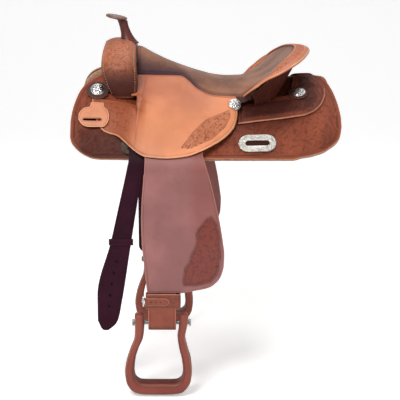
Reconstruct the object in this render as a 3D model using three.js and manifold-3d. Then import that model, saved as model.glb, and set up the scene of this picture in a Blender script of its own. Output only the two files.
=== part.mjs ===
// Western riding saddle: leather panels over a tree, one fender and one stirrup on each side.
// Millimetres. +Z is up, -X is the horn end (front), +X is the cantle end (rear),
// the near side is -Y. Z = 0 is the underside of the stirrups.
//
// Side pieces are built for the near side and mirrored for the off side. Words used throughout:
//   out    distance from the centre plane
//   slope  angle of a surface below level, running outward
//   down   fraction of the way down the base surface: 0 at the ridge, 1 at the bottom edge
//   lift   height above the base surface
import * as THREE from 'three';
import { mergeVertices } from 'three/addons/utils/BufferGeometryUtils.js';
import Module from 'manifold-3d';

const wasm = await Module();
wasm.setup();

const radians = degrees => degrees * Math.PI / 180;

// ---- driving dimensions ----
const SKIRT_LENGTH = 671;            // front edge of the skirt to its rear edge
const SKIRT_THICK = 4.6;
const FLEECE_THICK = 12;
const FLEECE_GAP = 0.5;              // fleece allowance under the skirt
const JOCKEY_THICK = 4.5;
const JOCKEY_LIFT = 18.3;            // underside of a jockey
const CONCHO_DIAMETER = 36;
const SEAT_CONCHO_DIAMETER = 32;
const FRONT_ROSETTE_DIAMETER = 58;
const REAR_ROSETTE_DIAMETER = 50;
const HORN_CAP_DIAMETER = 56;
const HORN_CAP_TILT = radians(10.7);
const FENDER_THICK = 4.5;
const FENDER_BEND_RADIUS = 60;       // inner face
const STIRRUP_OUT = 280;             // middle plane of the stirrup
const BOLT_HEIGHT = 188;
const BOLT_RADIUS = 4.8;
const ROLLER_RADIUS = 14;
const STRAP_THICK = 4.5;
const NECK_FRONT = -143.5;
const NECK_REAR = -75;

const SKIRT_END = SKIRT_LENGTH / 2;
const SKIRT_LIFT = FLEECE_THICK + FLEECE_GAP;
const SKIRT_TOP = SKIRT_LIFT + SKIRT_THICK;     // lift of the skirt's outer face
const JOCKEY_TOP = JOCKEY_LIFT + JOCKEY_THICK;  // lift of a jockey's outer face

// ---- numbers ----
const mix = (from, to, t) => from + (to - from) * t;
const range = count => Array.from({ length: count }, (_, i) => i);
const signedPower = (value, power) => Math.sign(value) * Math.abs(value) ** power;

// monotone cubic through [x, y] pairs, held level beyond the ends
function curve(points) {
  const xs = points.map(point => point[0]);
  const ys = points.map(point => point[1]);
  const last = points.length - 1;
  const widths = range(last).map(i => xs[i + 1] - xs[i]);
  const grades = range(last).map(i => (ys[i + 1] - ys[i]) / widths[i]);
  const tangents = new Array(last + 1).fill(0);
  for (let i = 1; i < last; i++) {
    if (grades[i - 1] * grades[i] <= 0) continue;
    const before = 2 * widths[i] + widths[i - 1];
    const after = widths[i] + 2 * widths[i - 1];
    tangents[i] = (before + after) / (before / grades[i - 1] + after / grades[i]);
  }
  tangents[0] = grades[0];
  tangents[last] = grades[last - 1];
  return x => {
    x = Math.min(Math.max(x, xs[0]), xs[last]);
    let i = 0;
    while (i < last - 1 && x > xs[i + 1]) i++;
    const t = (x - xs[i]) / widths[i];
    const t2 = t * t;
    const t3 = t2 * t;
    return (2 * t3 - 3 * t2 + 1) * ys[i] + (t3 - 2 * t2 + t) * widths[i] * tangents[i]
      + (3 * t2 - 2 * t3) * ys[i + 1] + (t3 - t2) * widths[i] * tangents[i + 1];
  };
}

// circular arc in a cross-section, from an upper point out to a lower one
function arcBetween(startOut, startZ, endOut, endZ, endSlope) {
  const chordSlope = Math.atan2(startZ - endZ, endOut - startOut);
  let startSlope = 2 * chordSlope - endSlope;
  if (Math.abs(endSlope - startSlope) < 0.01) startSlope = endSlope - 0.01; // never quite flat
  const chord = Math.hypot(endOut - startOut, startZ - endZ);
  const radius = chord / (2 * Math.sin((endSlope - startSlope) / 2));
  return {
    radius, startSlope, endSlope,
    centreOut: startOut - radius * Math.sin(startSlope),
    centreZ: startZ - radius * Math.cos(startSlope),
  };
}
function onArc(arc, t, lift) {
  const slope = mix(arc.startSlope, arc.endSlope, t);
  return {
    out: arc.centreOut + (arc.radius + lift) * Math.sin(slope),
    z: arc.centreZ + (arc.radius + lift) * Math.cos(slope),
    slope,
  };
}

// ---- solids ----
function solid(vertices, triangles) {
  let volume = 0;
  for (const triangle of triangles) {
    const [[ax, ay, az], [bx, by, bz], [cx, cy, cz]] = triangle.map(i => vertices[i]);
    volume += ax * (by * cz - bz * cy) + ay * (bz * cx - bx * cz) + az * (bx * cy - by * cx);
  }
  const outward = volume < 0 ? triangles.map(([a, b, c]) => [a, c, b]) : triangles;
  const geometry = new THREE.BufferGeometry();
  geometry.setAttribute('position', new THREE.Float32BufferAttribute(vertices.flat(), 3));
  geometry.setIndex(outward.flat());
  return geometry;
}
function quadList() {
  const triangles = [];
  const quad = (a, b, c, d) => triangles.push([a, b, c], [a, c, d]);
  return { triangles, quad };
}
// closed sheet between two equal grids of points
function gridSolid(top, bottom) {
  const rows = top.length;
  const cols = top[0].length;
  const up = (i, j) => i * cols + j;
  const low = (i, j) => (rows + i) * cols + j;
  const { triangles, quad } = quadList();
  for (let i = 0; i < rows - 1; i++) {
    for (let j = 0; j < cols - 1; j++) {
      quad(up(i, j), up(i + 1, j), up(i + 1, j + 1), up(i, j + 1));
      quad(low(i, j), low(i, j + 1), low(i + 1, j + 1), low(i + 1, j));
    }
  }
  const right = cols - 1;
  for (let i = 0; i < rows - 1; i++) {
    quad(up(i, 0), low(i, 0), low(i + 1, 0), up(i + 1, 0));
    quad(up(i + 1, right), low(i + 1, right), low(i, right), up(i, right));
  }
  const end = rows - 1;
  for (let j = 0; j < cols - 1; j++) {
    quad(up(0, j + 1), low(0, j + 1), low(0, j), up(0, j));
    quad(up(end, j), low(end, j), low(end, j + 1), up(end, j + 1));
  }
  return solid([...top.flat(), ...bottom.flat()], triangles);
}
// rings of points joined one to the next, closed by a fan at each end
function loftSolid(rings) {
  const count = rings[0].length;
  const vertices = rings.flat();
  const { triangles, quad } = quadList();
  const at = (i, k) => i * count + k % count;
  for (let i = 0; i < rings.length - 1; i++) {
    for (let k = 0; k < count; k++) quad(at(i, k), at(i, k + 1), at(i + 1, k + 1), at(i + 1, k));
  }
  for (const i of [0, rings.length - 1]) {
    const centre = vertices.length;
    vertices.push([0, 1, 2].map(axis => rings[i].reduce((sum, p) => sum + p[axis], 0) / count));
    for (let k = 0; k < count; k++) {
      const edge = [at(i, k), at(i, k + 1)];
      triangles.push([centre, ...(i ? edge : edge.reverse())]);
    }
  }
  return solid(vertices, triangles);
}
// hollow sleeve between outer and inner rings, open at both ends
function sleeveSolid(outerRings, innerRings) {
  const rows = outerRings.length;
  const count = outerRings[0].length;
  const outer = (i, k) => i * count + k % count;
  const inner = (i, k) => (rows + i) * count + k % count;
  const { triangles, quad } = quadList();
  const end = rows - 1;
  for (let k = 0; k < count; k++) {
    for (let i = 0; i < end; i++) {
      quad(outer(i, k), outer(i, k + 1), outer(i + 1, k + 1), outer(i + 1, k));
      quad(inner(i, k), inner(i + 1, k), inner(i + 1, k + 1), inner(i, k + 1));
    }
    quad(outer(0, k), inner(0, k), inner(0, k + 1), outer(0, k + 1));
    quad(outer(end, k), outer(end, k + 1), inner(end, k + 1), inner(end, k));
  }
  return solid([...outerRings.flat(), ...innerRings.flat()], triangles);
}
// profile of [radius, z] pairs turned about +Z
function lathe(profile, segments) {
  const points = profile.map(pair => new THREE.Vector2(...pair));
  return new THREE.LatheGeometry(points, segments).rotateX(Math.PI / 2);
}

function toManifold(geometry) {
  const bare = geometry.clone();
  bare.deleteAttribute('normal');
  bare.deleteAttribute('uv');
  const merged = mergeVertices(bare, 1e-4);
  return new wasm.Manifold(new wasm.Mesh({
    numProp: 3,
    vertProperties: merged.attributes.position.array,
    triVerts: new Uint32Array(merged.index.array),
  }));
}
function fromManifold(body) {
  const mesh = body.getMesh();
  const positions = new Float32Array(mesh.vertProperties);
  const geometry = new THREE.BufferGeometry();
  geometry.setAttribute('position', new THREE.BufferAttribute(positions, 3));
  geometry.setIndex(Array.from(mesh.triVerts));
  return geometry;
}
const cut = (body, tool) => fromManifold(toManifold(body).subtract(toManifold(tool)));
const join = (first, second) => fromManifold(toManifold(first).add(toManifold(second)));

// ---- flat outlines ----
function roundRect(width, height, radius) {
  const shape = new THREE.Shape();
  const x = width / 2;
  const y = height / 2;
  const quarter = Math.PI / 2;
  shape.moveTo(-x + radius, -y);
  shape.lineTo(x - radius, -y);
  shape.absarc(x - radius, -y + radius, radius, -quarter, 0);
  shape.lineTo(x, y - radius);
  shape.absarc(x - radius, y - radius, radius, 0, quarter);
  shape.lineTo(-x + radius, y);
  shape.absarc(-x + radius, y - radius, radius, quarter, Math.PI);
  shape.lineTo(-x, -y + radius);
  shape.absarc(-x + radius, -y + radius, radius, Math.PI, 3 * quarter);
  return shape;
}
// doubled points are left out of the outlines before they are extruded
function extrude(shape, depth, divisions = 1) {
  const distinct = list => list.filter((point, i) =>
    point.distanceTo(list[(i + list.length - 1) % list.length]) > 1e-3);
  const outlines = shape.extractPoints(divisions);
  const tidy = new THREE.Shape(distinct(outlines.shape));
  tidy.holes = outlines.holes.map(hole => new THREE.Path(distinct(hole)));
  return new THREE.ExtrudeGeometry(tidy, { depth, bevelEnabled: false, steps: 1 });
}
// rounded rectangle with a rounded opening; each is [width, height, corner radius]
function openRect({ outer, inner, innerY = 0, depth, divisions, innerDivisions }) {
  const shape = roundRect(...outer);
  const opening = roundRect(...inner).getPoints(innerDivisions);
  shape.holes.push(new THREE.Path(opening.map(p => new THREE.Vector2(p.x, p.y + innerY))));
  return extrude(shape, depth, divisions);
}

// ---- materials and meshes ----
const FINISH = {
  tan: { color: 0xb9754a, roughness: 0.45 },
  russet: { color: 0x8a4a33, roughness: 0.5 },
  brown: { color: 0x5e3427, roughness: 0.5 },
  fender: { color: 0x86584e, roughness: 0.55 },
  suede: { color: 0x5f4c40, roughness: 0.95 },
  latigo: { color: 0x33202a, roughness: 0.5 },
  fleece: { color: 0xd8cdb8, roughness: 1 },
  wood: { color: 0xb08a5c, roughness: 0.7 },
  foam: { color: 0xd9cf9e, roughness: 0.9 },
  silver: { color: 0xc9cacc, roughness: 0.25, metalness: 1 },
  steel: { color: 0xa9abad, roughness: 0.35, metalness: 1 },
};
function meshAt(name, geometry, finish, position) {
  const mesh = new THREE.Mesh(geometry, new THREE.MeshStandardMaterial(finish));
  mesh.name = name;
  mesh.position.copy(position);
  return mesh;
}
// geometry moved to its own centre, to the whole millimetre, and the mesh placed there
function piece(name, geometry, finish) {
  geometry.computeBoundingBox();
  const centre = geometry.boundingBox.getCenter(new THREE.Vector3()).round();
  geometry.translate(-centre.x, -centre.y, -centre.z);
  geometry.computeVertexNormals();
  return meshAt(name, geometry, finish, centre);
}

// ---- the base surface the skirts lie on: one circular arc per cross-section ----
const BASE_BOTTOM = 588;
const ridgeZ = curve([ // x, z
  [-340, 806], [-260, 806], [-205, 790], [-140, 748], [-80, 720], [0, 710], [70, 710],
  [130, 727], [200, 746], [260, 750], [340, 744]]);
const baseHalfWidth = curve([[-340, 222], [-240, 224], [-120, 236], [340, 236]]); // x, out
const baseEdgeSlope = curve([ // x, degrees
  [-340, 66], [-230, 63], [-120, 54], [0, 52], [70, 52], [100, 53], [200, 56], [340, 57]]);

function baseArc(x) {
  return arcBetween(0, ridgeZ(x), baseHalfWidth(x), BASE_BOTTOM, radians(baseEdgeSlope(x)));
}
const base = (x, down, lift) => onArc(baseArc(x), down, lift);
function downAt(x, out, lift) {
  const { centreOut, radius, startSlope, endSlope } = baseArc(x);
  const slope = Math.asin((out - centreOut) / (radius + lift));
  return (slope - startSlope) / (endSlope - startSlope);
}
const zOverBase = (x, out, lift) => base(x, downAt(x, out, lift), lift).z;
function basePoint(x, down, lift) {
  const { out, z } = base(x, down, lift);
  return [x, -out, z];
}
// a place on a surface and the turn that takes +Z to its outward direction
function surfaceFrame(position, alongX, downward) {
  const up = new THREE.Vector3().crossVectors(downward, alongX).normalize();
  const side = new THREE.Vector3().crossVectors(up, alongX).normalize();
  const turn = new THREE.Matrix4().makeBasis(alongX, side, up);
  return { position, quaternion: new THREE.Quaternion().setFromRotationMatrix(turn) };
}
function baseFrame(x, down, lift) {
  const at = px => new THREE.Vector3(...basePoint(px, down, lift));
  const { slope } = base(x, down, lift);
  const alongX = at(x + 0.5).sub(at(x - 0.5)).normalize();
  return surfaceFrame(at(x), alongX, new THREE.Vector3(0, -Math.cos(slope), -Math.sin(slope)));
}
// panel parallel to the base; columns are [x, down of the upper edge, down of the lower edge]
function baseSheet(columns, rows, low, high) {
  const grid = lift => columns.map(([x, upper, lower]) =>
    range(rows + 1).map(j => basePoint(x, mix(upper, lower, j / rows), lift)));
  return gridSolid(grid(high), grid(low));
}

// ---- skirts and fleece ----
const SKIRT_ROWS = 4;
const FLEECE_END_INSET = 5;     // fleece short of the skirt at each end
const FLEECE_SQUEEZE_X = 326;   // beyond this the fleece stations are drawn in
const FLEECE_EDGE_INSET = 0.008; // as a fraction of the way down
const skirtUpper = curve([ // x, down
  [-SKIRT_END, 0.7], [-332.5, 0.616], [-325, 0.513], [-315, 0.422], [-298.5, 0.336],
  [-275.8, 0.271], [-255, 0.224], [-230, 0.191], [-180, 0.174], [-120, 0.169], [-40, 0.171],
  [0, 0.168], [70, 0.168], [120, 0.125], [160, 0.066], [200, 0.019], [260, 0.01], [295, 0.014],
  [305, 0.067], [317.5, 0.212], [327.5, 0.376], [332.5, 0.498], [SKIRT_END, 0.595]]);
const skirtLower = curve([ // x, down
  [-SKIRT_END, 0.828], [-332.5, 0.864], [-325, 0.899], [-315, 0.932], [-298.5, 0.967],
  [-275.8, 0.994], [-255, 1], [210, 1], [235, 0.981], [260, 0.964], [285, 0.936],
  [305, 0.893], [317.5, 0.855], [327.5, 0.811], [332.5, 0.759], [SKIRT_END, 0.696]]);
const SKIRT_X = [
  -SKIRT_END, -332.5, -325, -314, -298.5, -275.8, -250, -220, -190, -155, -115, -60, 0,
  70, 115, 160, 205, 245, 285, 297, 307, 317.5, 327.5, 332.5, SKIRT_END];

function skirtGeometry() {
  const columns = SKIRT_X.map(x => [x, skirtUpper(x), skirtLower(x)]);
  return baseSheet(columns, SKIRT_ROWS, SKIRT_LIFT, SKIRT_TOP);
}
function fleeceX(x) {
  const beyond = Math.abs(x) - FLEECE_SQUEEZE_X;
  if (beyond <= 0) return x;
  const room = SKIRT_END - FLEECE_SQUEEZE_X;
  return Math.sign(x) * (FLEECE_SQUEEZE_X + beyond * (room - FLEECE_END_INSET) / room);
}
function fleeceGeometry() {
  const columns = SKIRT_X.map(x =>
    [fleeceX(x), skirtUpper(x) + FLEECE_EDGE_INSET, skirtLower(x) - FLEECE_EDGE_INSET]);
  return baseSheet(columns, SKIRT_ROWS, 0, FLEECE_THICK - FLEECE_GAP);
}

// ---- tree bars ----
const BAR_OUT = 74;             // middle of the bar
const BAR_LOW = SKIRT_TOP + 1.8;
const BAR_HIGH = 26.5;
const BAR_ROWS = 2;
const BAR_X = [-236, -226, -200, -172, -145, -115, -70, 0, 70, 110, 150, 176, 182];
const barHalfWidth = curve([
  [-236, 12], [-226, 22], [-200, 24], [-140, 27], [150, 27], [176, 22], [182, 12]]);

function barGeometry() {
  const grid = lift => BAR_X.map(x => {
    const upper = downAt(x, BAR_OUT - barHalfWidth(x), lift);
    const lower = downAt(x, BAR_OUT + barHalfWidth(x), lift);
    return range(BAR_ROWS + 1).map(j => basePoint(x, mix(upper, lower, j / BAR_ROWS), lift));
  });
  return gridSolid(grid(BAR_HIGH), grid(BAR_LOW));
}

// ---- fork and its cover ----
const FORK = [ // outer out, outer z, inner out, inner lift, front x, rear x; from the middle
  [0, 862, 0, 28, -258, -177], [60, 858, 42, 28, -260, -177],
  [110, 846, 75, 28, -262, -175.5], [148, 826, 92, 28, -262, -173],
  [165, 803, 98, 28, -260, -170.5], [163, 778, 104, 28.5, -254, -170.5],
  [153, 752, 116, 22, -245, -172.5], [143, 731, 124, 20, -233, -180]];
const FORK_STATIONS = range(2 * FORK.length - 1).map(i => i - FORK.length + 1);
const FORK_RING_POINTS = 12;
const FORK_ROUNDNESS = 2 / 2.6; // power on sine and cosine that squares the ring
const FORK_INSET = 3.9;         // wood under the cover's outer face
const COVER_THICK = 3.3;
const COVER_HOLE = { radius: 12, length: 40, x: -201, z: 855 };

function forkRing(station, inset) {
  const [outerOut, outerZ, innerOut, lift, front, rear] = FORK[Math.abs(station)];
  const middle = (front + rear) / 2;
  const half = (rear - front) / 2 - inset;
  const innerZ = zOverBase(middle, innerOut, lift);
  return range(FORK_RING_POINTS).map(i => {
    const angle = i / FORK_RING_POINTS * 2 * Math.PI;
    const x = middle + half * signedPower(Math.cos(angle), FORK_ROUNDNESS);
    const rise = (1 + signedPower(Math.sin(angle), FORK_ROUNDNESS)) / 2;
    const innerZHere = zOverBase(x, innerOut, lift);
    const margin = inset / Math.hypot(outerOut - innerOut, outerZ - innerZHere);
    const t = mix(margin, 1 - margin, rise);
    return [x, -Math.sign(station) * mix(innerOut, outerOut, t), mix(innerZHere, outerZ, t)];
  });
}
const forkRings = inset => FORK_STATIONS.map(station => forkRing(station, inset));
const forkGeometry = () => loftSolid(forkRings(FORK_INSET));
function coverGeometry() { // holed for the horn
  const { radius, length, x, z } = COVER_HOLE;
  const hole = new THREE.CylinderGeometry(radius, radius, length, 24);
  hole.rotateX(Math.PI / 2).translate(x, 0, z);
  return cut(sleeveSolid(forkRings(0), forkRings(COVER_THICK)), hole);
}

// ---- horn ----
const HORN_CAP_PLACE = new THREE.Vector3(-229, 0, 917);
const HORN_CORE = [[858.6, 8], [880, 8], [908, 8]]; // z, radius
const HORN_WRAP = [[862.6, 18.5], [867, 16], [876, 12.9], [895, 11.7], [908, 13.6]]; // z, radius
const WRAP_BORE = 8.6;
const hornAxisX = z => -199.5 - (z - 858.5) * 0.305;
const underCapZ = (x, gap) => 910 - gap - (x + 213.7) * Math.tan(HORN_CAP_TILT);

// the last level is cut along the cap, a gap below it
function hornRings(levels, count, gap) {
  return levels.map(([level, radius], i) => range(count).map(k => {
    const angle = k / count * 2 * Math.PI;
    const x = hornAxisX(level) + radius * Math.cos(angle);
    const z = i === levels.length - 1 ? underCapZ(x, gap) : level;
    return [x, radius * Math.sin(angle), z];
  }));
}
const hornCoreGeometry = () => loftSolid(hornRings(HORN_CORE, 12, 1));
function hornWrapGeometry() {
  const bore = HORN_WRAP.map(([z]) => [z, WRAP_BORE]);
  return sleeveSolid(hornRings(HORN_WRAP, 14, 0.6), hornRings(bore, 14, 0.6));
}
function hornCapGeometry() {
  const radius = HORN_CAP_DIAMETER / 2;
  return lathe([
    [0, -4], [radius - 4, -4], [radius - 1, -2.6], [radius, 0],
    [radius - 1, 2.6], [radius - 4, 4], [0, 4]], 20);
}

// ---- seat ----
// u runs across the saddle from -1 on the near side to 1 on the off side
const SEAT_FRONT = -168;
const DISH_FRONT = 85; // behind this the seat rises to the cantle
const SEAT_COLS = 10;
const SEAT_X = [SEAT_FRONT, -150, -127.5, -96, -62, -46, -30, -12, 8, 30, 50, DISH_FRONT];
const DISH_T = [0.2, 0.42, 0.62, 0.8, 1]; // fractions of the way up the dish
const seatMidZ = curve([
  [SEAT_FRONT, 843], [-140, 825], [-102, 806], [-65, 791], [-15, 773.5], [22, 764],
  [60, 760], [DISH_FRONT, 761]]);
const seatHalfWidth = curve([
  [SEAT_FRONT, 75], [-142, 72], [-105, 68], [-67, 61], [-48, 72], [-25, 100], [10, 122],
  [45, 131.5], [DISH_FRONT, 137]]);
const seatEdgeZ = curve([
  [SEAT_FRONT, 780], [-65, 776], [-15, 747], [22, 736], [60, 735], [DISH_FRONT, 734]]);
const SEAT_COVER = { top: 0, bottom: -3.1, trim: 1.2, frontTrim: 0, dishRows: 5 };
const SEAT_FOAM = { top: -4.7, bottom: -13.3, trim: 3.5, frontTrim: 5, dishRows: 3 };
const GROUND_SEAT = { top: -13.8, bottom: -16.4, trim: 3.5, frontTrim: 5, dishRows: 3 };

const RIM_HALF = [ // x, y, z of the cantle's crest, off side, from its front end to the middle
  [95, 140, 738], [135, 155, 773], [172, 160, 802], [210, 130, 825], [236, 60, 838], [243, 0, 841]];
const RIM_POINTS = [...RIM_HALF, ...RIM_HALF.slice(0, -1).reverse().map(([x, y, z]) => [x, -y, z])];
const RIM = new THREE.CatmullRomCurve3(
  RIM_POINTS.map(point => new THREE.Vector3(...point)), false, 'centripetal');

function rimAt(u) { // the crest point and the outward level direction
  const t = (1 - u) / 2;
  const tangent = RIM.getTangentAt(t);
  return {
    crest: RIM.getPointAt(t),
    outward: new THREE.Vector3(-tangent.y, tangent.x, 0).normalize(),
  };
}
function seatPoint(x, u, trim) {
  const across = Math.max(0, 1 - trim / seatHalfWidth(x)) * u;
  return [x, across * seatHalfWidth(x), mix(seatMidZ(x), seatEdgeZ(x), across * across)];
}
function dishPoint(t, u, trim = 0, reach = 0.93) {
  const low = seatPoint(DISH_FRONT, u, trim);
  const { crest, outward } = rimAt(u * reach);
  const inset = 15.7 + 30 * Math.max(0, Math.abs(u) - 0.8);
  return [
    mix(low[0], crest.x - inset * outward.x, t),
    mix(low[1], crest.y - inset * outward.y, t),
    mix(low[2], crest.z - 3.2, t ** 1.8)];
}
function seatLayer({ top, bottom, trim, frontTrim, dishRows }) {
  const rows = [
    ...SEAT_X.map(x => u => seatPoint(Math.max(x, SEAT_FRONT + frontTrim), u, trim)),
    ...DISH_T.slice(0, dishRows).map(t => u => dishPoint(t, u, trim))];
  const grid = offset => rows.map(row => range(SEAT_COLS + 1).map(j => {
    const [x, y, z] = row(-1 + 2 * j / SEAT_COLS);
    return [x, y, z + offset];
  }));
  return gridSolid(grid(top), grid(bottom));
}

// ---- cantle ----
const ROLL_U = range(21).map(i => -1 + i / 10);
const ROLL_POINTS = 10;
// centre and half size of the roll's section, measured from the crest; it falls outward
const ROLL = { centreOut: 4.5, halfWidth: 19.5, centreZ: -4, halfHeight: 5.3, fall: 0.153 };
const BACK_U = range(19).map(i => (-1 + i / 9) * 0.9);
const BACK_T = [0, 0.5, 1];
const BACK_THICK = 3.5;
const BACK_TOP = { out: 2, drop: 15 };     // upper edge, from the crest
const BACK_FOOT = { lift: 22.3, rise: 2.5 }; // lower edge, over the base
const BOARD_DROP = 18;                     // board under the dish
const footInset = curve([[0, 37], [0.4, 38], [0.66, 40], [0.82, 30], [0.92, 19]]); // |u|, inset

function rollGeometry() {
  return loftSolid(ROLL_U.map(u => {
    const { crest, outward } = rimAt(u);
    const size = Math.min(1, 0.42 + 4 * (1 - Math.abs(u))); // smaller at the two ends
    return range(ROLL_POINTS).map(k => {
      const angle = k / ROLL_POINTS * 2 * Math.PI;
      const offset = ROLL.halfWidth * signedPower(Math.cos(angle), 0.85);
      const reach = (ROLL.centreOut + offset) * size;
      const height = ROLL.centreZ - ROLL.fall * offset
        + ROLL.halfHeight * signedPower(Math.sin(angle), 0.85);
      return [
        crest.x + outward.x * reach,
        crest.y + outward.y * reach,
        crest.z + height * (0.35 + 0.65 * size)];
    });
  }));
}
function backPoint(u, t, inset) { // t = 0 under the roll .. 1 at the foot
  const { crest, outward } = rimAt(u);
  const foot = footInset(Math.abs(u));
  const footX = crest.x - outward.x * foot;
  const footOut = Math.abs(crest.y - outward.y * foot);
  const footZ = zOverBase(footX, footOut, BACK_FOOT.lift) + BACK_FOOT.rise;
  const reach = mix(BACK_TOP.out, -foot, t) - inset;
  return [
    crest.x + outward.x * reach,
    crest.y + outward.y * reach,
    mix(crest.z - BACK_TOP.drop, footZ, t)];
}
function cantleBackGeometry() {
  const grid = inset => BACK_U.map(u => BACK_T.map(t => backPoint(u, t, inset)));
  return gridSolid(grid(0), grid(BACK_THICK));
}
function cantleBoardGeometry() { // fills the space between the dish and the cantle back
  return loftSolid(BACK_U.filter(u => Math.abs(u) < 0.71).map(u => {
    const front = dishPoint(0.66, u, 0, 0.985);
    const rear = dishPoint(0.97, u, 0, 0.985);
    const inset = 4.9 + 14 * Math.max(0, Math.abs(u) - 0.35);
    const top = backPoint(u, 0.04, inset);
    const foot = backPoint(u, 0.93, inset);
    const heel = [
      mix(front[0], foot[0], 0.3),
      mix(front[1], foot[1], 0.3),
      Math.min(foot[2] + 1, front[2] - 21)];
    front[2] -= BOARD_DROP;
    rear[2] -= BOARD_DROP;
    return [front, rear, top, foot, heel];
  }));
}

// ---- seat jockeys ----
const JOCKEY_EDGE = [ // x, out, z and slope in degrees along the lower edge
  [-284.5, 146, 733.5, 46.5], [-280, 166.7, 711.5, 49.9], [-270, 191.5, 681.6, 54.5],
  [-255, 205.8, 661.9, 57.1], [-237.5, 211.1, 654.5, 57.6], [-220, 219.3, 651.1, 57.5],
  [-202.5, 234.9, 640.9, 58.1], [-185, 252.8, 628.8, 58.6], [-167.5, 265.7, 617.6, 58.7],
  [-150, 273.5, 610.5, 58.3], [-127.5, 276.9, 608.1, 57.3], [-96, 278.1, 606.8, 56.9],
  [-48.3, 275.2, 611, 55.3], [-16.5, 267.7, 620.7, 53.1], [15, 253, 633.3, 50],
  [47.5, 226.2, 649.5, 47.4], [70, 194, 669, 48], [75, 180, 680, 50], [78, 166, 694, 52]];
const [jockeyEdgeOut, jockeyEdgeZ, jockeyEdgeSlope] =
  [1, 2, 3].map(column => curve(JOCKEY_EDGE.map(row => [row[0], row[column]])));
const JOCKEY_X = [
  -284.5, -280, -275, -267.5, -263.5, -245, -220, -203, -187, -170.6, -165.5, -150, -127.5,
  -96, -62, -46, -30, -12, 8, 30, 50, 65, 72, 78];
const JOCKEY_ROWS = 6;
const jockeyFrontOut = curve([[-284.5, 130], [-280, 120], [-275, 111], [-267, 105]]);

function jockeyUpperEdge(x) { // beside the seat, then beside the fork, then ahead of it
  if (x >= -166) {
    const past = Math.max(0, x - 74);
    return [seatHalfWidth(x) + 0.4 + past * 1.2, seatEdgeZ(x) - past * 1.6];
  }
  const out = x > -263 ? 150 : jockeyFrontOut(x);
  return [out, zOverBase(x, out, JOCKEY_TOP)];
}
function jockeyPoint(x, t, inset = 0) { // t = 0 at the upper edge .. 1 at the lower edge
  const edgeSlope = radians(jockeyEdgeSlope(x));
  const arc = arcBetween(...jockeyUpperEdge(x), jockeyEdgeOut(x), jockeyEdgeZ(x), edgeSlope);
  const { out, z, slope } = onArc(arc, t, 0);
  if (t === 0) return [x, -out, z - inset]; // the upper edge is cut upright beside the seat
  return [x, -(out - inset * Math.sin(slope)), z - inset * Math.cos(slope)];
}
function jockeyGeometry() {
  const grid = inset => JOCKEY_X.map(x =>
    range(JOCKEY_ROWS + 1).map(j => jockeyPoint(x, j / JOCKEY_ROWS, inset)));
  return gridSolid(grid(0), grid(JOCKEY_THICK));
}
function jockeyFrame(x, t) {
  const at = (px, pt) => new THREE.Vector3(...jockeyPoint(px, pt));
  const alongX = at(x + 1, t).sub(at(x - 1, t)).normalize();
  return surfaceFrame(at(x, t), alongX, at(x, t + 0.02).sub(at(x, t - 0.02)));
}

// ---- rear jockeys ----
const REAR_JOCKEY = [ // x, down of the upper edge, down of the lower edge
  [80, 0.388, 0.645], [97.5, 0.37, 0.641], [127.5, 0.36, 0.634], [160, 0.36, 0.629],
  [194, 0.36, 0.621], [210, 0.35, 0.613], [218, 0.2, 0.608], [227, 0.04, 0.604],
  [242, 0.022, 0.595], [257.5, 0.022, 0.574], [270.5, 0.03, 0.548], [282.5, 0.127, 0.504],
  [290, 0.155, 0.465], [297.5, 0.218, 0.396], [301.5, 0.271, 0.347]];
const rearJockeyGeometry = () => baseSheet(REAR_JOCKEY, 4, JOCKEY_LIFT, JOCKEY_TOP);

// ---- rigging plates, rosettes and conchos ----
const REAR_PLATE = { length: 92, height: 48, thick: 3, slotLength: 60, slotHeight: 15, slotY: 0 };
const FRONT_PLATE = { length: 84, height: 46, thick: 2.8, slotLength: 50, slotHeight: 9, slotY: -8 };
const ROSETTE_THICK = 2.2;
const ROSETTE_LIFT = 1.4; // these lifts are above the leather underneath
const CONCHO_LIFT = 4;
const SEAT_CONCHO_LIFT = 1.9;

function plateGeometry({ length, height, thick, slotLength, slotHeight, slotY }) {
  return openRect({
    outer: [length, height, height / 2 - 0.01],
    inner: [slotLength, slotHeight, slotHeight / 2 - 0.01],
    innerY: slotY, depth: thick, divisions: 4, innerDivisions: 3,
  });
}
function conchoGeometry(diameter) {
  const radius = diameter / 2;
  return lathe([
    [0, 0], [radius, 0], [radius - 0.6, 2], [radius - 3.4, 2.5], [radius - 6, 4.4], [0, 5.9]], 16);
}
function rosetteGeometry(diameter) { // twelve scallops, three points to each
  const outline = range(36).map(i => {
    const angle = i / 36 * 2 * Math.PI;
    const radius = diameter / 2 * (0.965 + 0.035 * Math.cos(12 * angle));
    return new THREE.Vector2(radius * Math.cos(angle), radius * Math.sin(angle));
  });
  return extrude(new THREE.Shape(outline), ROSETTE_THICK);
}

// ---- latigo keeper ----
const KEEPER = [ // x, down of the upper edge, down of the lower edge
  [-315, 0.655, 0.697], [-311, 0.632, 0.72], [-302.5, 0.604, 0.747], [-292, 0.595, 0.757],
  [-287, 0.59, 0.758], [-285.5, 0.556, 0.758], [-270, 0.556, 0.758], [-254.5, 0.556, 0.758],
  [-253, 0.59, 0.757], [-245, 0.614, 0.733], [-240, 0.652, 0.695]];
const KEEPER_LOW = 25.4;
const KEEPER_HIGH = 28.6;
const KEEPER_SLOT = [46, 7, 14];

function keeperGeometry() {
  const { position, quaternion } = baseFrame(-281, 0.7, (KEEPER_LOW + KEEPER_HIGH) / 2);
  const slot = new THREE.BoxGeometry(...KEEPER_SLOT);
  slot.applyQuaternion(quaternion).translate(position.x, position.y, position.z);
  return cut(baseSheet(KEEPER, 3, KEEPER_LOW, KEEPER_HIGH), slot);
}

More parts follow.
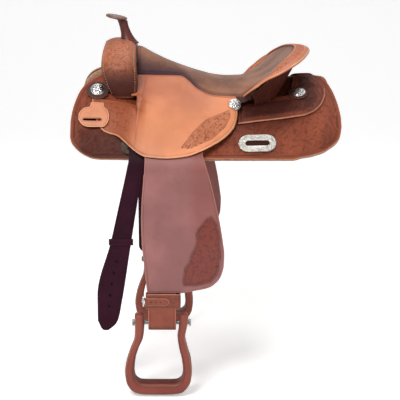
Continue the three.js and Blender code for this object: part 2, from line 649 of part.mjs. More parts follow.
// ---- straps that hang from the front rigging plates ----
const HANG = {
  x: -168, lift: SKIRT_TOP + FRONT_PLATE.thick + 5.4, radius: 40,
  lean: 0.066, leanFrom: 570, // below this height the strap falls a little inwards
};
const LATIGO = {
  thick: 5.6,
  levels: [545, 483, 388, 316, 244, 205, 179, 166, 156, 150],
  front: curve([ // z, x
    [150, -259], [156, -265], [166, -269], [179, -273.5], [244, -273], [388, -236.3],
    [483, -214.5], [581, -192.5], [597, -189.5], [640, -189.5]]),
  rear: curve([
    [150, -248], [156, -240], [166, -229], [179, -222], [226, -212], [388, -185.5],
    [483, -170], [581, -153.5], [597, -150], [640, -147]]),
};
const BILLET = {
  thick: 5,
  levels: [540, 430, 320, 240, 228, 222],
  front: curve([[222, -176], [228, -185], [240, -189.5], [640, -190.5]]), // z, x
  rear: curve([[222, -160], [228, -151], [240, -146.5], [640, -145.5]]),
};

// middle line over the skirt, round its lower edge and down through the levels
function hangRows(levels) {
  const rows = [0.915, 0.955, 1].map(down => base(HANG.x, down, HANG.lift));
  const edge = rows[2];
  const centreOut = edge.out - HANG.radius * Math.sin(edge.slope);
  const centreZ = edge.z - HANG.radius * Math.cos(edge.slope);
  for (const t of [0.35, 0.7, 1]) {
    const slope = mix(edge.slope, Math.PI / 2, t);
    const out = centreOut + HANG.radius * Math.sin(slope);
    rows.push({ out, z: centreZ + HANG.radius * Math.cos(slope), slope });
  }
  for (const z of levels) {
    const out = centreOut + HANG.radius - Math.max(0, HANG.leanFrom - z) * HANG.lean;
    rows.push({ out, z, slope: Math.PI / 2 + HANG.lean });
  }
  return rows;
}
// rows are { out, z, slope, front, rear }, the last two being the x of the strip's edges
function stripSolid(rows, cols, high, low) {
  const grid = offset => rows.map(({ out, z, slope, front, rear }) => range(cols + 1).map(j => [
    mix(front, rear, j / cols),
    -(out + offset * Math.sin(slope)),
    z + offset * Math.cos(slope)]));
  return gridSolid(grid(high), grid(low));
}
function hangingStrap({ levels, front, rear, thick }) {
  const rows = hangRows(levels).map(row => ({ ...row, front: front(row.z), rear: rear(row.z) }));
  return stripSolid(rows, 2, thick / 2, -thick / 2);
}

// ---- fenders: a part sloping at 45 degrees, a bend, and a part hanging straight down ----
const FENDER_LINE = 869.2;           // inner face of the sloping part: out + z
const FENDER_START = 158;            // out of the upper edge
const FENDER_SPLIT = radians(63.3);  // slope at which the two pieces meet
const FENDER_SPLIT_GAP = 0.005;      // radians, on each side of the split
const BEND_START = 260.6;            // out where the bend begins
const BEND_OUT = BEND_START - FENDER_BEND_RADIUS * Math.SQRT1_2; // centre of the bend
const BEND_Z = FENDER_LINE - BEND_START - FENDER_BEND_RADIUS * Math.SQRT1_2;
const fenderTopFront = curve([ // distance down the slope, x
  [0, -108], [6, -118], [16, -126], [34, -132], [80, -140], [120, -147], [156, -149.3]]);
const fenderTopRear = curve([
  [0, -42], [6, -32], [16, -24], [34, -18], [80, -12], [120, -9], [156, -8.3]]);
const fenderFront = curve([ // z, x
  [264.8, -146], [273, -147], [294, -149.3], [337, -153.3], [393, -158.3], [444, -159.5],
  [487, -158.3], [551, -153.3], [600, -150.3]]);
const fenderRear = curve([
  [264.8, -58], [268, -40], [271.5, -25], [274.5, -8], [279.7, 8.5], [288, 21], [299, 31.3],
  [315, 39], [333, 43.5], [367, 45], [393, 42], [423.5, 37.5], [444, 34], [487, 25],
  [551, 10], [600, -5.3]]);
const FENDER_LEVELS = [
  530, 487, 444, 405, 367, 337, 315, 299, 288, 279.7, 274.5, 271.5, 268, 264.8];

function fenderBend(slope) {
  return {
    out: BEND_OUT + FENDER_BEND_RADIUS * Math.sin(slope),
    z: BEND_Z + FENDER_BEND_RADIUS * Math.cos(slope),
    slope,
  };
}
function fenderTopGeometry() {
  const length = (BEND_START - FENDER_START) * Math.SQRT2;
  const rows = [0, 6, 16, 34, 80, length].map(distance => {
    const out = FENDER_START + distance * Math.SQRT1_2;
    const front = fenderTopFront(distance);
    return { out, z: FENDER_LINE - out, slope: Math.PI / 4, front, rear: fenderTopRear(distance) };
  });
  for (const t of [0.35, 0.68, 1]) {
    const bend = fenderBend(mix(Math.PI / 4, FENDER_SPLIT - FENDER_SPLIT_GAP, t));
    rows.push({ ...bend, front: -149.3 - t, rear: -8.3 + 3 * t });
  }
  return stripSolid(rows, 3, FENDER_THICK, 0);
}
function fenderGeometry() {
  const bend = [FENDER_SPLIT + FENDER_SPLIT_GAP, 1.25, 1.41, Math.PI / 2].map(fenderBend);
  const out = BEND_OUT + FENDER_BEND_RADIUS;
  const straight = FENDER_LEVELS.map(z => ({ out, z, slope: Math.PI / 2 }));
  const rows = [...bend, ...straight].map(row =>
    ({ ...row, front: fenderFront(row.z), rear: fenderRear(row.z) }));
  return stripSolid(rows, 4, FENDER_THICK, 0);
}

// ---- stirrup leather, hobble strap, buckle ----
const NECK_STEPS = 12;
const NECK_CLEARANCE = 0.8; // leather round the roller
const HOBBLE = { low: 226, high: 264.2, front: -150, rear: -63, depth: 23.6, wall: 2.6 };
const BUCKLE = { height: 28, depth: 24, bar: 3.5, thick: 3, x: -155.5, z: 245 };
const TONGUE = { bore: 2.7, radius: 4.1, halfLength: 2.5, pinRadius: 1.3, pinLength: 20.5 };

function neckGeometry() { // outline in the out-z plane round the roller, drawn along the bolt
  const innerRadius = ROLLER_RADIUS + NECK_CLEARANCE;
  const loop = (radius, start, sweep) => range(NECK_STEPS + 1).map(i => {
    const angle = start + sweep * i / NECK_STEPS;
    return [radius * Math.cos(angle), BOLT_HEIGHT + radius * Math.sin(angle)];
  });
  const sweep = Math.PI + 0.5;
  const outline = [ // offset from the stirrup's middle plane, z
    [5.1, 263], [5.1, 240], [9, 222],
    ...loop(innerRadius + STRAP_THICK, 0.25, -sweep),
    [-9, 222], [-5.1, 240], [-6.9, 262], [-6.9, 330],
    [-2.4, 330], [-2.4, 262], [-0.6, 240], [-4.4, 222],
    ...loop(innerRadius, -Math.PI - 0.25, sweep),
    [4.4, 222], [0.6, 240], [0.6, 263]];
  const points = outline.map(([offset, z]) => new THREE.Vector2(STIRRUP_OUT + offset, z));
  const geometry = extrude(new THREE.Shape(points), NECK_REAR - NECK_FRONT);
  return geometry.applyMatrix4(new THREE.Matrix4().set( // outline x to -Y, y to +Z, depth to -X
    0, 0, -1, NECK_REAR,
    -1, 0, 0, 0,
    0, 1, 0, 0,
    0, 0, 0, 1));
}
function hobbleGeometry() {
  const { low, high, front, rear, depth, wall } = HOBBLE;
  const width = rear - front;
  return openRect({
    outer: [width, depth, 6],
    inner: [width - 2 * wall, depth - 2 * wall, 3.6],
    depth: high - low, divisions: 3, innerDivisions: 3,
  });
}
function buckleGeometry() { // width along z, height across the saddle
  const { height, depth, bar, thick } = BUCKLE;
  const frame = openRect({
    outer: [height, depth, 3.5],
    inner: [height - 2 * bar, depth - 2 * bar, 1],
    depth: thick, divisions: 2, innerDivisions: 1,
  });
  return frame.translate(0, 0, -thick / 2).rotateY(-Math.PI / 2);
}
function tongueGeometry() { // eye about +Z through the origin, pin along -Y on the -X face
  const { bore, radius, halfLength, pinRadius, pinLength } = TONGUE;
  const eye = lathe([
    [bore, -halfLength], [radius, -halfLength], [radius, halfLength],
    [bore, halfLength], [bore, -halfLength]], 14);
  const pin = new THREE.CylinderGeometry(pinRadius, pinRadius, pinLength, 8);
  return join(eye, pin.translate(-3.1, -2.4 - pinLength / 2, 0));
}

// ---- stirrup, bolt and roller ----
const STIRRUP = [ // outer x, outer z, inner x, inner z, depth; down the front and up the rear
  [-177, 212, -155, 212, 30], [-177.5, 208, -153.5, 208, 34], [-177.5, 195, -153.5, 195, 34],
  [-177.5, 178, -154, 178, 34], [-179, 150, -156.5, 153, 35], [-189.5, 119, -168, 124, 37],
  [-199, 90, -176.5, 94, 40], [-203.8, 60, -179.5, 64, 43], [-200.8, 34, -177, 47, 46],
  [-191, 15, -170, 38, 48], [-176, 4.5, -162, 34, 50], [-152, 0.6, -148, 33, 50],
  [-118, 0, -118, 33, 50], [-86, 0.6, -90, 33, 50], [-62, 4.5, -75, 34, 50],
  [-48, 16, -67, 38, 48], [-38, 35, -60, 48, 46], [-35.3, 60, -58, 64, 43],
  [-37.5, 90, -61, 94, 40], [-46, 123, -68, 126, 37], [-51.5, 152, -71.5, 154, 35],
  [-47, 179, -68, 178, 34], [-44, 196, -66.5, 196, 34], [-45, 208, -66, 208, 34],
  [-46, 212, -64, 212, 30]];
const STIRRUP_SECTION = [ // outer-to-inner and depth, each -1 .. 1
  [1, -0.6], [1, 0.6], [0.6, 1], [-0.6, 1], [-1, 0.6], [-1, -0.6], [-0.6, -1], [0.6, -1]];
const BORE = { clearance: 0.5, length: 220, x: -110 };
const BOLT = { x: -110.9, shankHalf: 67.6, half: 73, headRadius: 8 };
const ROLLER = { bore: 5.4, half: 31.5 };

function stirrupGeometry() {
  const frame = loftSolid(STIRRUP.map(([outerX, outerZ, innerX, innerZ, depth]) =>
    STIRRUP_SECTION.map(([inward, across]) => [
      mix(outerX, innerX, (1 + inward) / 2),
      -STIRRUP_OUT + across * depth / 2,
      mix(outerZ, innerZ, (1 + inward) / 2)])));
  const radius = BOLT_RADIUS + BORE.clearance;
  const bore = new THREE.CylinderGeometry(radius, radius, BORE.length, 16);
  return cut(frame, bore.rotateZ(Math.PI / 2).translate(BORE.x, -STIRRUP_OUT, BOLT_HEIGHT));
}
function boltGeometry() {
  const { shankHalf, half, headRadius } = BOLT;
  return lathe([
    [0, -half], [headRadius, -half], [headRadius, -shankHalf], [BOLT_RADIUS, -shankHalf],
    [BOLT_RADIUS, shankHalf], [headRadius, shankHalf], [headRadius, half], [0, half],
  ], 12).rotateY(Math.PI / 2);
}
function rollerGeometry() {
  const { bore, half } = ROLLER;
  return lathe([
    [bore, -half], [ROLLER_RADIUS, -half], [ROLLER_RADIUS, half], [bore, half], [bore, -half],
  ], 16).rotateY(Math.PI / 2);
}

// ---- assembly ----
const saddle = new THREE.Group();
const hornCap = meshAt('horn_cap', hornCapGeometry(), FINISH.tan, HORN_CAP_PLACE);
hornCap.rotation.y = HORN_CAP_TILT;
saddle.add(
  piece('tree_fork', forkGeometry(), FINISH.wood),
  piece('swell_cover', coverGeometry(), FINISH.russet),
  piece('horn_core', hornCoreGeometry(), FINISH.steel),
  piece('horn_wrap', hornWrapGeometry(), FINISH.brown),
  piece('ground_seat', seatLayer(GROUND_SEAT), FINISH.russet),
  piece('seat_foam', seatLayer(SEAT_FOAM), FINISH.foam),
  piece('seat_cover', seatLayer(SEAT_COVER), FINISH.suede),
  piece('cantle_roll', rollGeometry(), FINISH.tan),
  piece('cantle_back', cantleBackGeometry(), FINISH.brown),
  piece('cantle_board', cantleBoardGeometry(), FINISH.wood),
  hornCap);

function buildSide(side) {
  const group = new THREE.Group();
  const add = (name, geometry, finish) => group.add(piece(`${name}_${side}`, geometry, finish));
  const mount = (name, geometry, finish, { position, quaternion }, lift) => {
    const place = new THREE.Vector3(0, 0, lift).applyQuaternion(quaternion).add(position);
    const mesh = meshAt(`${name}_${side}`, geometry, finish, place);
    mesh.quaternion.copy(quaternion);
    group.add(mesh);
  };
  const hang = (name, geometry, finish, x, z, inward = 0) => {
    const place = new THREE.Vector3(x, -STIRRUP_OUT + inward, z);
    group.add(meshAt(`${name}_${side}`, geometry, finish, place));
  };
  add('fleece', fleeceGeometry(), FINISH.fleece);
  add('skirt', skirtGeometry(), FINISH.russet);
  add('tree_bar', barGeometry(), FINISH.wood);
  add('seat_jockey', jockeyGeometry(), FINISH.tan);
  add('rear_jockey', rearJockeyGeometry(), FINISH.brown);

  const rearPlate = baseFrame(126.2, 0.857, SKIRT_TOP);
  const frontPlate = baseFrame(-167.5, 0.895, SKIRT_TOP);
  mount('rear_rigging_plate', plateGeometry(REAR_PLATE), FINISH.silver, rearPlate, 0.8);
  mount('front_rigging_plate', plateGeometry(FRONT_PLATE), FINISH.steel, frontPlate, 0.6);
  const ornaments = [
    ['front', FRONT_ROSETTE_DIAMETER, baseFrame(-271, 0.436, JOCKEY_TOP)],
    ['rear', REAR_ROSETTE_DIAMETER, baseFrame(233, 0.34, JOCKEY_TOP)]];
  for (const [end, diameter, frame] of ornaments) {
    mount(`${end}_rosette`, rosetteGeometry(diameter), FINISH.brown, frame, ROSETTE_LIFT);
    mount(`${end}_concho`, conchoGeometry(CONCHO_DIAMETER), FINISH.silver, frame, CONCHO_LIFT);
  }
  const seatConcho = conchoGeometry(SEAT_CONCHO_DIAMETER);
  mount('seat_concho', seatConcho, FINISH.silver, jockeyFrame(71, 0.3), SEAT_CONCHO_LIFT);

  add('fender_top', fenderTopGeometry(), FINISH.fender);
  add('fender', fenderGeometry(), FINISH.fender);
  add('stirrup_leather', neckGeometry(), FINISH.fender);
  const hobbleX = (HOBBLE.front + HOBBLE.rear) / 2;
  const barInward = (BUCKLE.depth - BUCKLE.bar) / 2; // the tongue turns on the inner bar
  hang('hobble_strap', hobbleGeometry(), FINISH.tan, hobbleX, HOBBLE.low);
  hang('hobble_buckle', buckleGeometry(), FINISH.silver, BUCKLE.x, BUCKLE.z);
  hang('buckle_tongue', tongueGeometry(), FINISH.silver, BUCKLE.x, BUCKLE.z, barInward);
  add('stirrup', stirrupGeometry(), FINISH.russet);
  hang('stirrup_bolt', boltGeometry(), FINISH.steel, BOLT.x, BOLT_HEIGHT);
  const rollerX = (NECK_FRONT + NECK_REAR) / 2;
  hang('stirrup_roller', rollerGeometry(), FINISH.steel, rollerX, BOLT_HEIGHT);
  return group;
}

// the near side carries the latigo and its keeper, the off side the billet
const nearSide = buildSide('near');
nearSide.add(
  piece('latigo_keeper', keeperGeometry(), FINISH.tan),
  piece('latigo', hangingStrap(LATIGO), FINISH.latigo));
const offSide = buildSide('off');
offSide.scale.y = -1;
offSide.add(piece('off_billet', hangingStrap(BILLET), FINISH.latigo));
saddle.add(nearSide, offSide);

export default saddle;
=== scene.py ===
"""A Western saddle with its fenders, stirrups, girth straps and silver.

It faces -x, z is up and the near (left) side is at -y. Shapes are worked out in millimetres on the
near side, then mirrored for the off side; make() turns them into metres. "Out" is the distance
from the centre plane, so a near-side point has y = -out.
"""
import math

import bpy
import numpy as np
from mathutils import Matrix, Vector, kdtree

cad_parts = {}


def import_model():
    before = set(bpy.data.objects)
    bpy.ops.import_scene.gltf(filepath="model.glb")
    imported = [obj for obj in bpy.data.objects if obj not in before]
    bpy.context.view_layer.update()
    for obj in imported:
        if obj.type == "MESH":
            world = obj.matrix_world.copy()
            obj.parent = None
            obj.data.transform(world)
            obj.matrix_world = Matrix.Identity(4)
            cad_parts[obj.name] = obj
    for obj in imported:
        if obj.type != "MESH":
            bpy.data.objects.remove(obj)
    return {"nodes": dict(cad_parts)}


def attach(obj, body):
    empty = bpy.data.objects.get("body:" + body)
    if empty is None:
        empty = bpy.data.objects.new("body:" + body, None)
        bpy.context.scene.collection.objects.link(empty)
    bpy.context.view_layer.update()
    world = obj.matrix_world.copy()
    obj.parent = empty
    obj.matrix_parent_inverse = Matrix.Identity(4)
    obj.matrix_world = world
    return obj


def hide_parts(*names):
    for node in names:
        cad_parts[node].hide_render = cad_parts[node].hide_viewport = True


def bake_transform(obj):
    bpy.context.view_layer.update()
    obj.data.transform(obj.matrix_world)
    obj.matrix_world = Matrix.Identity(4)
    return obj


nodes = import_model()["nodes"]
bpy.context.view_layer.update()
PI = math.pi


# ------------------------------------------------------------------ number helpers
def smooth(start, end, value):
    """Eased step from 0 at start to 1 at end; start may be the larger."""
    t = np.clip((value - start) / (end - start), 0, 1)
    return t * t * (3 - 2 * t)


def clamp(value):
    return np.clip(value, 0, 1)


def gauss(value, centre, width):
    """A soft line: 1 at the centre, fading over the width."""
    return np.exp(-((value - centre) / width) ** 2)


def signed_power(value, power):
    return np.sign(value) * np.abs(value) ** power


def unit(vectors):
    return vectors / (np.linalg.norm(vectors, axis=-1, keepdims=True) + 1e-12)


def xyz(x, y, z):
    return np.stack(np.broadcast_arrays(x, y, z), -1)


def arc_length(points, axis=0):
    step = np.linalg.norm(np.diff(points, axis=axis), axis=-1)
    start = np.zeros_like(np.take(step, [0], axis))
    return np.concatenate([start, np.cumsum(step, axis)], axis)


def interp_rows(at, places, rows):
    return np.stack([np.interp(at, places, column) for column in rows.T], -1)


def turn(count):
    """Angles once round a circle."""
    return np.arange(count) / count * 2 * PI


def curve(stations):
    """Monotone cubic through (place, value) stations, held level past the ends."""
    place, height = np.array(stations, float).T
    step = np.diff(place)
    slope = np.diff(height) / step
    tangent = np.zeros(len(place))
    tangent[[0, -1]] = slope[[0, -1]]
    for i in range(1, len(place) - 1):
        before, after = slope[i - 1], slope[i]
        if before * after > 0:
            weight, weight_after = 2 * step[i] + step[i - 1], step[i] + 2 * step[i - 1]
            tangent[i] = (weight + weight_after) / (weight / before + weight_after / after)

    def value(x):
        x = np.clip(np.asarray(x, float), place[0], place[-1])
        i = np.clip(np.searchsorted(place, x) - 1, 0, len(place) - 2)
        t = (x - place[i]) / step[i]
        t2, t3 = t * t, t * t * t
        return ((2 * t3 - 3 * t2 + 1) * height[i] + (t3 - 2 * t2 + t) * step[i] * tangent[i]
                + (3 * t2 - 2 * t3) * height[i + 1] + (t3 - t2) * step[i] * tangent[i + 1])
    return value


def curves(table):
    """One curve for each column after the first, which holds the places."""
    table = np.array(table, float)
    return [curve(table[:, [0, k]]) for k in range(1, table.shape[1])]


# Distances from an edge at which rows are set so it can be rounded over.
NEAR_EDGE = (0, 0.25, 0.7, 1.3, 2.1, 3.1, 4.3)
THIN_EDGE = (0, 0.3, 0.8, 1.5, 2.4)


def spaced(length, step, dense=NEAR_EDGE):
    """Fractions 0..1 along a length, evenly stepped but close together near both ends."""
    ends = [d for d in dense if d < length * 0.25]
    count = max(2, int(round((length - 2 * ends[-1]) / step)) + 1)
    middle = np.linspace(ends[-1], length - ends[-1], count)
    last = [length - d for d in ends[:-1]][::-1]
    return np.concatenate([ends[:-1], middle, last]) / length


def span(low, high, step, dense=NEAR_EDGE):
    return low + (high - low) * spaced(high - low, step, dense)


# ------------------------------------------------------------------ carving and mottling
def hash2(i, j, seed):
    value = np.sin(i * 127.1 + j * 311.7 + seed * 74.7) * 43758.5453
    return value - np.floor(value)


def value_noise(x, y, size, seed):
    x, y = x / size, y / size
    i, j = np.floor(x), np.floor(y)
    fx, fy = smooth(0, 1, x - i), smooth(0, 1, y - j)
    low = hash2(i, j, seed) * (1 - fx) + hash2(i + 1, j, seed) * fx
    high = hash2(i, j + 1, seed) * (1 - fx) + hash2(i + 1, j + 1, seed) * fx
    return low * (1 - fy) + high * fy


def fractal(x, y, size, seed):
    """Three octaves of noise, 0..1."""
    octaves = [0.5 ** k * value_noise(x, y, size / 2 ** k, seed + 13 * k) for k in range(3)]
    return sum(octaves) / 1.75


def carve(x, y, seed, cell):
    """Flowers with leaves curling round them: height 0..1 and how dark the ground is."""
    x, y = np.broadcast_arrays(x, y)
    nearest = np.full(x.shape, 1e9)
    angle, pick = np.zeros(x.shape), np.zeros(x.shape)
    i0, j0 = np.floor(x / cell), np.floor(y / cell)
    for di in (-1, 0, 1):
        for dj in (-1, 0, 1):
            # One flower to a cell, nudged off centre, in staggered rows.
            i, j = i0 + di, j0 + dj
            own = hash2(i, j, seed + 9)
            dx = x - (i + 0.5 + 0.34 * (hash2(i, j, seed) - 0.5) + 0.5 * (j % 2)) * cell
            dy = y - (j + 0.5 + 0.34 * (hash2(i, j, seed + 5) - 0.5)) * cell
            distance = np.hypot(dx, dy)
            closer = distance < nearest
            nearest = np.where(closer, distance, nearest)
            angle = np.where(closer, np.arctan2(dy, dx) + own * 6.28, angle)
            pick = np.where(closer, own, pick)
    radius = cell * 0.36
    reach = nearest / radius
    # The flower: five petals round a domed centre.
    wave = np.abs(np.cos(2.5 * angle))
    petal = 0.74 + 0.26 * wave
    inside = reach < petal
    lobe = wave ** 0.5
    swelling = clamp(np.sin(clamp(reach / petal) * PI)) ** 0.6
    centre = reach < 0.24
    dome = 0.55 + 0.45 * np.sqrt(clamp(1 - (reach / 0.24) ** 2))
    flower = np.where(centre, dome, 0.35 + 0.65 * lobe * swelling)
    flower = flower * (1 - 0.7 * gauss(reach, 0.27, 0.05))
    # The leaves: three or four to a flower, curling one way or the other.
    many = pick > 0.5
    curl = angle * np.where(many, 3, 4) + (nearest - radius) * 0.16 * np.where(many, 1, -1)
    leaf = np.abs(np.sin(curl / 2))
    vein = gauss(leaf, 1, 0.03) * smooth(1.9, 1.2, reach)
    leaves = np.where(leaf > 0.36, 0.40 + 0.55 * smooth(0.36, 0.7, leaf) - 0.45 * vein,
                      0.02 + 0.14 * value_noise(x, y, 2.4, seed + 3))
    scroll = np.abs(np.sin(reach * 4.6 + 0.5 * curl))
    leaves = np.where(reach > 1.5, leaves * (0.35 + 0.65 * smooth(0.12, 0.5, scroll)), leaves)
    # A cut runs round the petals.
    cut = gauss(reach, petal + 0.06, 0.055)
    height = np.where(inside, flower, leaves * (1 - cut))
    petal_veins = np.where(inside & ~centre,
                           gauss(lobe, 0.28, 0.16) * smooth(0.25, 0.4, reach), 0)
    dark = clamp(1 - height * 1.9) + 0.75 * cut + 0.5 * petal_veins + 0.5 * vein * ~inside
    return height, clamp(dark)


def side_height(points):
    """Height of near-side points as they line up in a side view from 14 degrees above."""
    return 0.9703 * points[..., 2] + 0.2419 * points[..., 1]


def outline_depth(x, y, outline):
    """Distance in from a closed outline, negative outside it."""
    inside = np.zeros(x.shape, bool)
    distance = np.full(x.shape, 1e9)
    for (x0, y0), (x1, y1) in zip(outline, outline[1:] + outline[:1]):
        run, rise = x1 - x0, y1 - y0
        crossing = x0 + (y - y0) * run / (rise or 1e-9)
        inside ^= ((y0 > y) != (y1 > y)) & (x < crossing)
        t = clamp(((x - x0) * run + (y - y0) * rise) / (run * run + rise * rise))
        distance = np.minimum(distance, np.hypot(x - x0 - t * run, y - y0 - t * rise))
    return np.where(inside, distance, -distance)


# ------------------------------------------------------------------ the saddle's shape
# Across the horse the saddle is an arc from the crest (share 0) to its lower edge (share 1).
EDGE_Z = 588
crest_z = curve([[-340, 806], [-260, 806], [-205, 790], [-140, 748], [-80, 720], [0, 710],
                 [70, 710], [130, 727], [200, 746], [260, 750], [340, 744]])
half_width = curve([[-340, 222], [-240, 224], [-120, 236], [340, 236]])
edge_slope = curve([[-340, 66], [-230, 63], [-120, 54], [0, 52], [70, 52], [100, 53], [200, 56],
                    [340, 57]])

# Lifts of the layers off the base arc.
SKIRT_LOW, SKIRT_HIGH = 12.5, 17.1
JOCKEY_LOW, JOCKEY_HIGH = 18.3, 22.8


def section(x):
    """The arc at x: crest height, angles at the crest and the edge, radius."""
    z, out, last = crest_z(x), half_width(x), np.radians(edge_slope(x))
    first = 2 * np.arctan2(z - EDGE_Z, out) - last
    return z, first, last, np.hypot(z - EDGE_Z, out) / (2 * np.sin((last - first) / 2))


def base(x, share, lift):
    """Out, height and angle of a point lifted off the arc."""
    z, first, last, radius = section(x)
    angle = first + share * (last - first)
    return (-radius * np.sin(first) + (radius + lift) * np.sin(angle),
            z - radius * np.cos(first) + (radius + lift) * np.cos(angle), angle)


def share_at(x, out, lift):
    _, first, last, radius = section(x)
    return (np.arcsin((out + radius * np.sin(first)) / (radius + lift)) - first) / (last - first)


def base_z(x, out, lift):
    return base(x, share_at(x, out, lift), lift)[1]


def on_base(x, share, lift):
    out, z, _ = base(x, share, lift)
    return xyz(x, -out, z)


def frame_at(x, share, lift):
    """A place on the near side with its rearward, crosswise and upward directions."""
    out, z, angle = base(x, share, lift)
    ahead, behind = base(x + 0.5, share, lift), base(x - 0.5, share, lift)
    along = unit(np.array([1, behind[0] - ahead[0], ahead[1] - behind[1]]))
    up = unit(np.cross(np.array([0, -math.cos(angle), -math.sin(angle)]), along))
    up = -up if up[2] < 0 else up
    return np.array([x, -out, z]), along, unit(np.cross(up, along)), up


def panel_grid(x, fractions, top, bottom):
    """A column of x and the shares across a panel between its top and bottom curves."""
    x = x[:, None]
    return x, top(x) + (bottom(x) - top(x)) * fractions


# Swell stations from the middle out: top out, top z, foot out, foot lift, front x, rear x.
swell_curves = curves([
    [0, 0, 862, 0, 28, -258, -177], [1, 60, 858, 42, 28, -260, -177],
    [2, 110, 846, 75, 28, -262, -175.5], [3, 148, 826, 92, 28, -262, -173],
    [4, 165, 803, 98, 28, -260, -170.5], [5, 163, 778, 104, 28.5, -254, -170.5],
    [6, 153, 752, 116, 22, -245, -172.5], [7, 143, 731, 124, 20, -233, -180]])


def swell_ring(station, angle, inset):
    """Station -7..7 across the swell, negative on the off side; angle 0 is at the rear."""
    top_out, top_z, foot_out, foot_lift, front_x, rear_x = [f(abs(station)) for f in swell_curves]
    across = signed_power(np.cos(angle), 2 / 2.6)
    outward = signed_power(np.sin(angle), 2 / 2.6)
    x = (front_x + rear_x) / 2 + ((rear_x - front_x) / 2 - inset) * across
    foot_z = base_z(x, foot_out, foot_lift)
    d_out, d_z = top_out - foot_out, top_z - foot_z
    length = np.hypot(d_out, d_z)
    part = inset / length + (1 - 2 * inset / length) * (1 + outward) / 2
    return xyz(x, -np.sign(station) * (foot_out + d_out * part), foot_z + d_z * part)


SEAT_FRONT, SEAT_REAR = -168, 85
seat_middle_z = curve([[-168, 843], [-140, 825], [-102, 806], [-65, 791], [-15, 773.5],
                       [22, 764], [60, 760], [85, 761]])
seat_half = curve([[-168, 75], [-142, 72], [-105, 68], [-67, 61], [-48, 72], [-25, 100],
                   [10, 122], [45, 131.5], [85, 137]])
seat_edge_z = curve([[-168, 780], [-65, 776], [-15, 747], [22, 736], [60, 735], [85, 734]])


def catmull(points, per=60):
    """Centripetal Catmull-Rom line through the points."""
    def between(first, last, t_first, t_last):
        return ((t_last - t) * first + (t - t_first) * last) / (t_last - t_first)

    points = np.vstack([2 * points[0] - points[1], points, 2 * points[-1] - points[-2]])
    line = []
    for i in range(1, len(points) - 2):
        four = points[i - 1:i + 3]
        knots = [0]
        for k in range(3):
            knots.append(knots[k] + np.linalg.norm(four[k + 1] - four[k]) ** 0.5)
        t = np.linspace(knots[1], knots[2], per, endpoint=i == len(points) - 3)[:, None]
        level = list(four)
        for reach in (1, 2):
            level = [between(level[k], level[k + 1], knots[k], knots[k + reach])
                     for k in range(4 - reach)]
        line.append(between(level[0], level[1], knots[1], knots[2]))
    return np.vstack(line)


# The cantle's crest, from the off side to the middle of the back; the near side mirrors it.
RIM_HALF = np.array([[95, 140, 738], [135, 155, 773], [172, 160, 802], [210, 130, 825],
                     [236, 60, 838], [243, 0, 841]], float)
rim_line = catmull(np.vstack([RIM_HALF, RIM_HALF[-2::-1] * [1, -1, 1]]))
rim_length = arc_length(rim_line)
rim_along = unit(np.gradient(rim_line, axis=0))


def rim(side):
    """Side -1 (near) to 1 (off): the crest point and the outward level direction."""
    place = (1 - np.asarray(side, float)) / 2 * rim_length[-1]
    point = interp_rows(place, rim_length, rim_line)
    along = interp_rows(place, rim_length, rim_along)
    normal = unit(xyz(-along[..., 1], along[..., 0], 0))
    outward = xyz(point[..., 0] - 90, point[..., 1], 0)
    inverted = (normal * outward).sum(-1, keepdims=True) < 0
    return point, np.where(inverted, -normal, normal)


def seat_point(x, side, trim):
    """The seat at x; side runs -1..1 across it."""
    side = np.maximum(0, 1 - trim / seat_half(x)) * side
    middle = seat_middle_z(x)
    return xyz(x, side * seat_half(x), middle + (seat_edge_z(x) - middle) * side * side)


def dish_point(rise, side, trim):
    """The seat's rise 0..1 from its rear line up to just inside the cantle's crest."""
    low = seat_point(SEAT_REAR, side, trim)
    point, normal = rim(side * 0.93)
    inward = 15.7 + 30 * np.maximum(0, np.abs(side) - 0.8)
    high = xyz(point[..., 0] - inward * normal[..., 0], point[..., 1] - inward * normal[..., 1],
               point[..., 2] - 3.2)
    return low + (high - low) * xyz(rise, rise, rise ** 1.8)


# How far inside the crest the foot of the cantle's back stands, by |side|.
cantle_foot = curve([[0, 37], [0.4, 38], [0.66, 40], [0.82, 30], [0.92, 19]])


def back_face(side, fall, inset):
    """The cantle's back; fall runs 0 under the roll to 1 at the foot."""
    point, normal = rim(side)
    foot = cantle_foot(np.abs(side))
    out = np.abs(point[..., 1] - normal[..., 1] * foot)
    foot_z = base_z(point[..., 0] - normal[..., 0] * foot, out, 22.3) + 2.5
    shift = 2 - (2 + foot) * fall - inset
    top_z = point[..., 2] - 15
    return xyz(point[..., 0] + normal[..., 0] * shift, point[..., 1] + normal[..., 1] * shift,
               top_z + (foot_z - top_z) * fall)


# Lower edge of the seat jockey: x, out, z, slope in degrees.
jockey_edge_out, jockey_edge_z, jockey_edge_slope = curves([
    [-284.5, 146, 733.5, 44.5], [-280, 166.7, 711.5, 47.9], [-270, 191.5, 681.6, 52.5],
    [-255, 205.8, 661.9, 55.1], [-237.5, 211.1, 654.5, 55.6], [-220, 219.3, 651.1, 55.5],
    [-202.5, 234.9, 640.9, 56.1], [-185, 252.8, 628.8, 56.6], [-167.5, 265.7, 617.6, 56.7],
    [-150, 273.5, 610.5, 56.3], [-127.5, 276.9, 608.1, 55.3], [-96, 278.1, 606.8, 54.9],
    [-48.3, 275.2, 611, 53.3], [-16.5, 267.7, 620.7, 51.1], [15, 253, 633.3, 48],
    [47.5, 226.2, 649.5, 45.4], [70, 194, 669, 46], [75, 180, 680, 48], [78, 166, 694, 50]])
jockey_front_out = curve([[-284.5, 130], [-280, 120], [-275, 111], [-267, 105], [-265, 105],
                          [-262.9, 150], [-166, 150]])


def arc_to(out0, z0, out1, z1, last):
    """Start angle and radius of the arc between two points that ends at the given angle."""
    first = 2 * np.arctan2(z0 - z1, out1 - out0) - last
    first = np.where(np.abs(last - first) < 0.01, last - 0.01, first)
    return first, np.hypot(out1 - out0, z0 - z1) / (2 * np.sin((last - first) / 2))


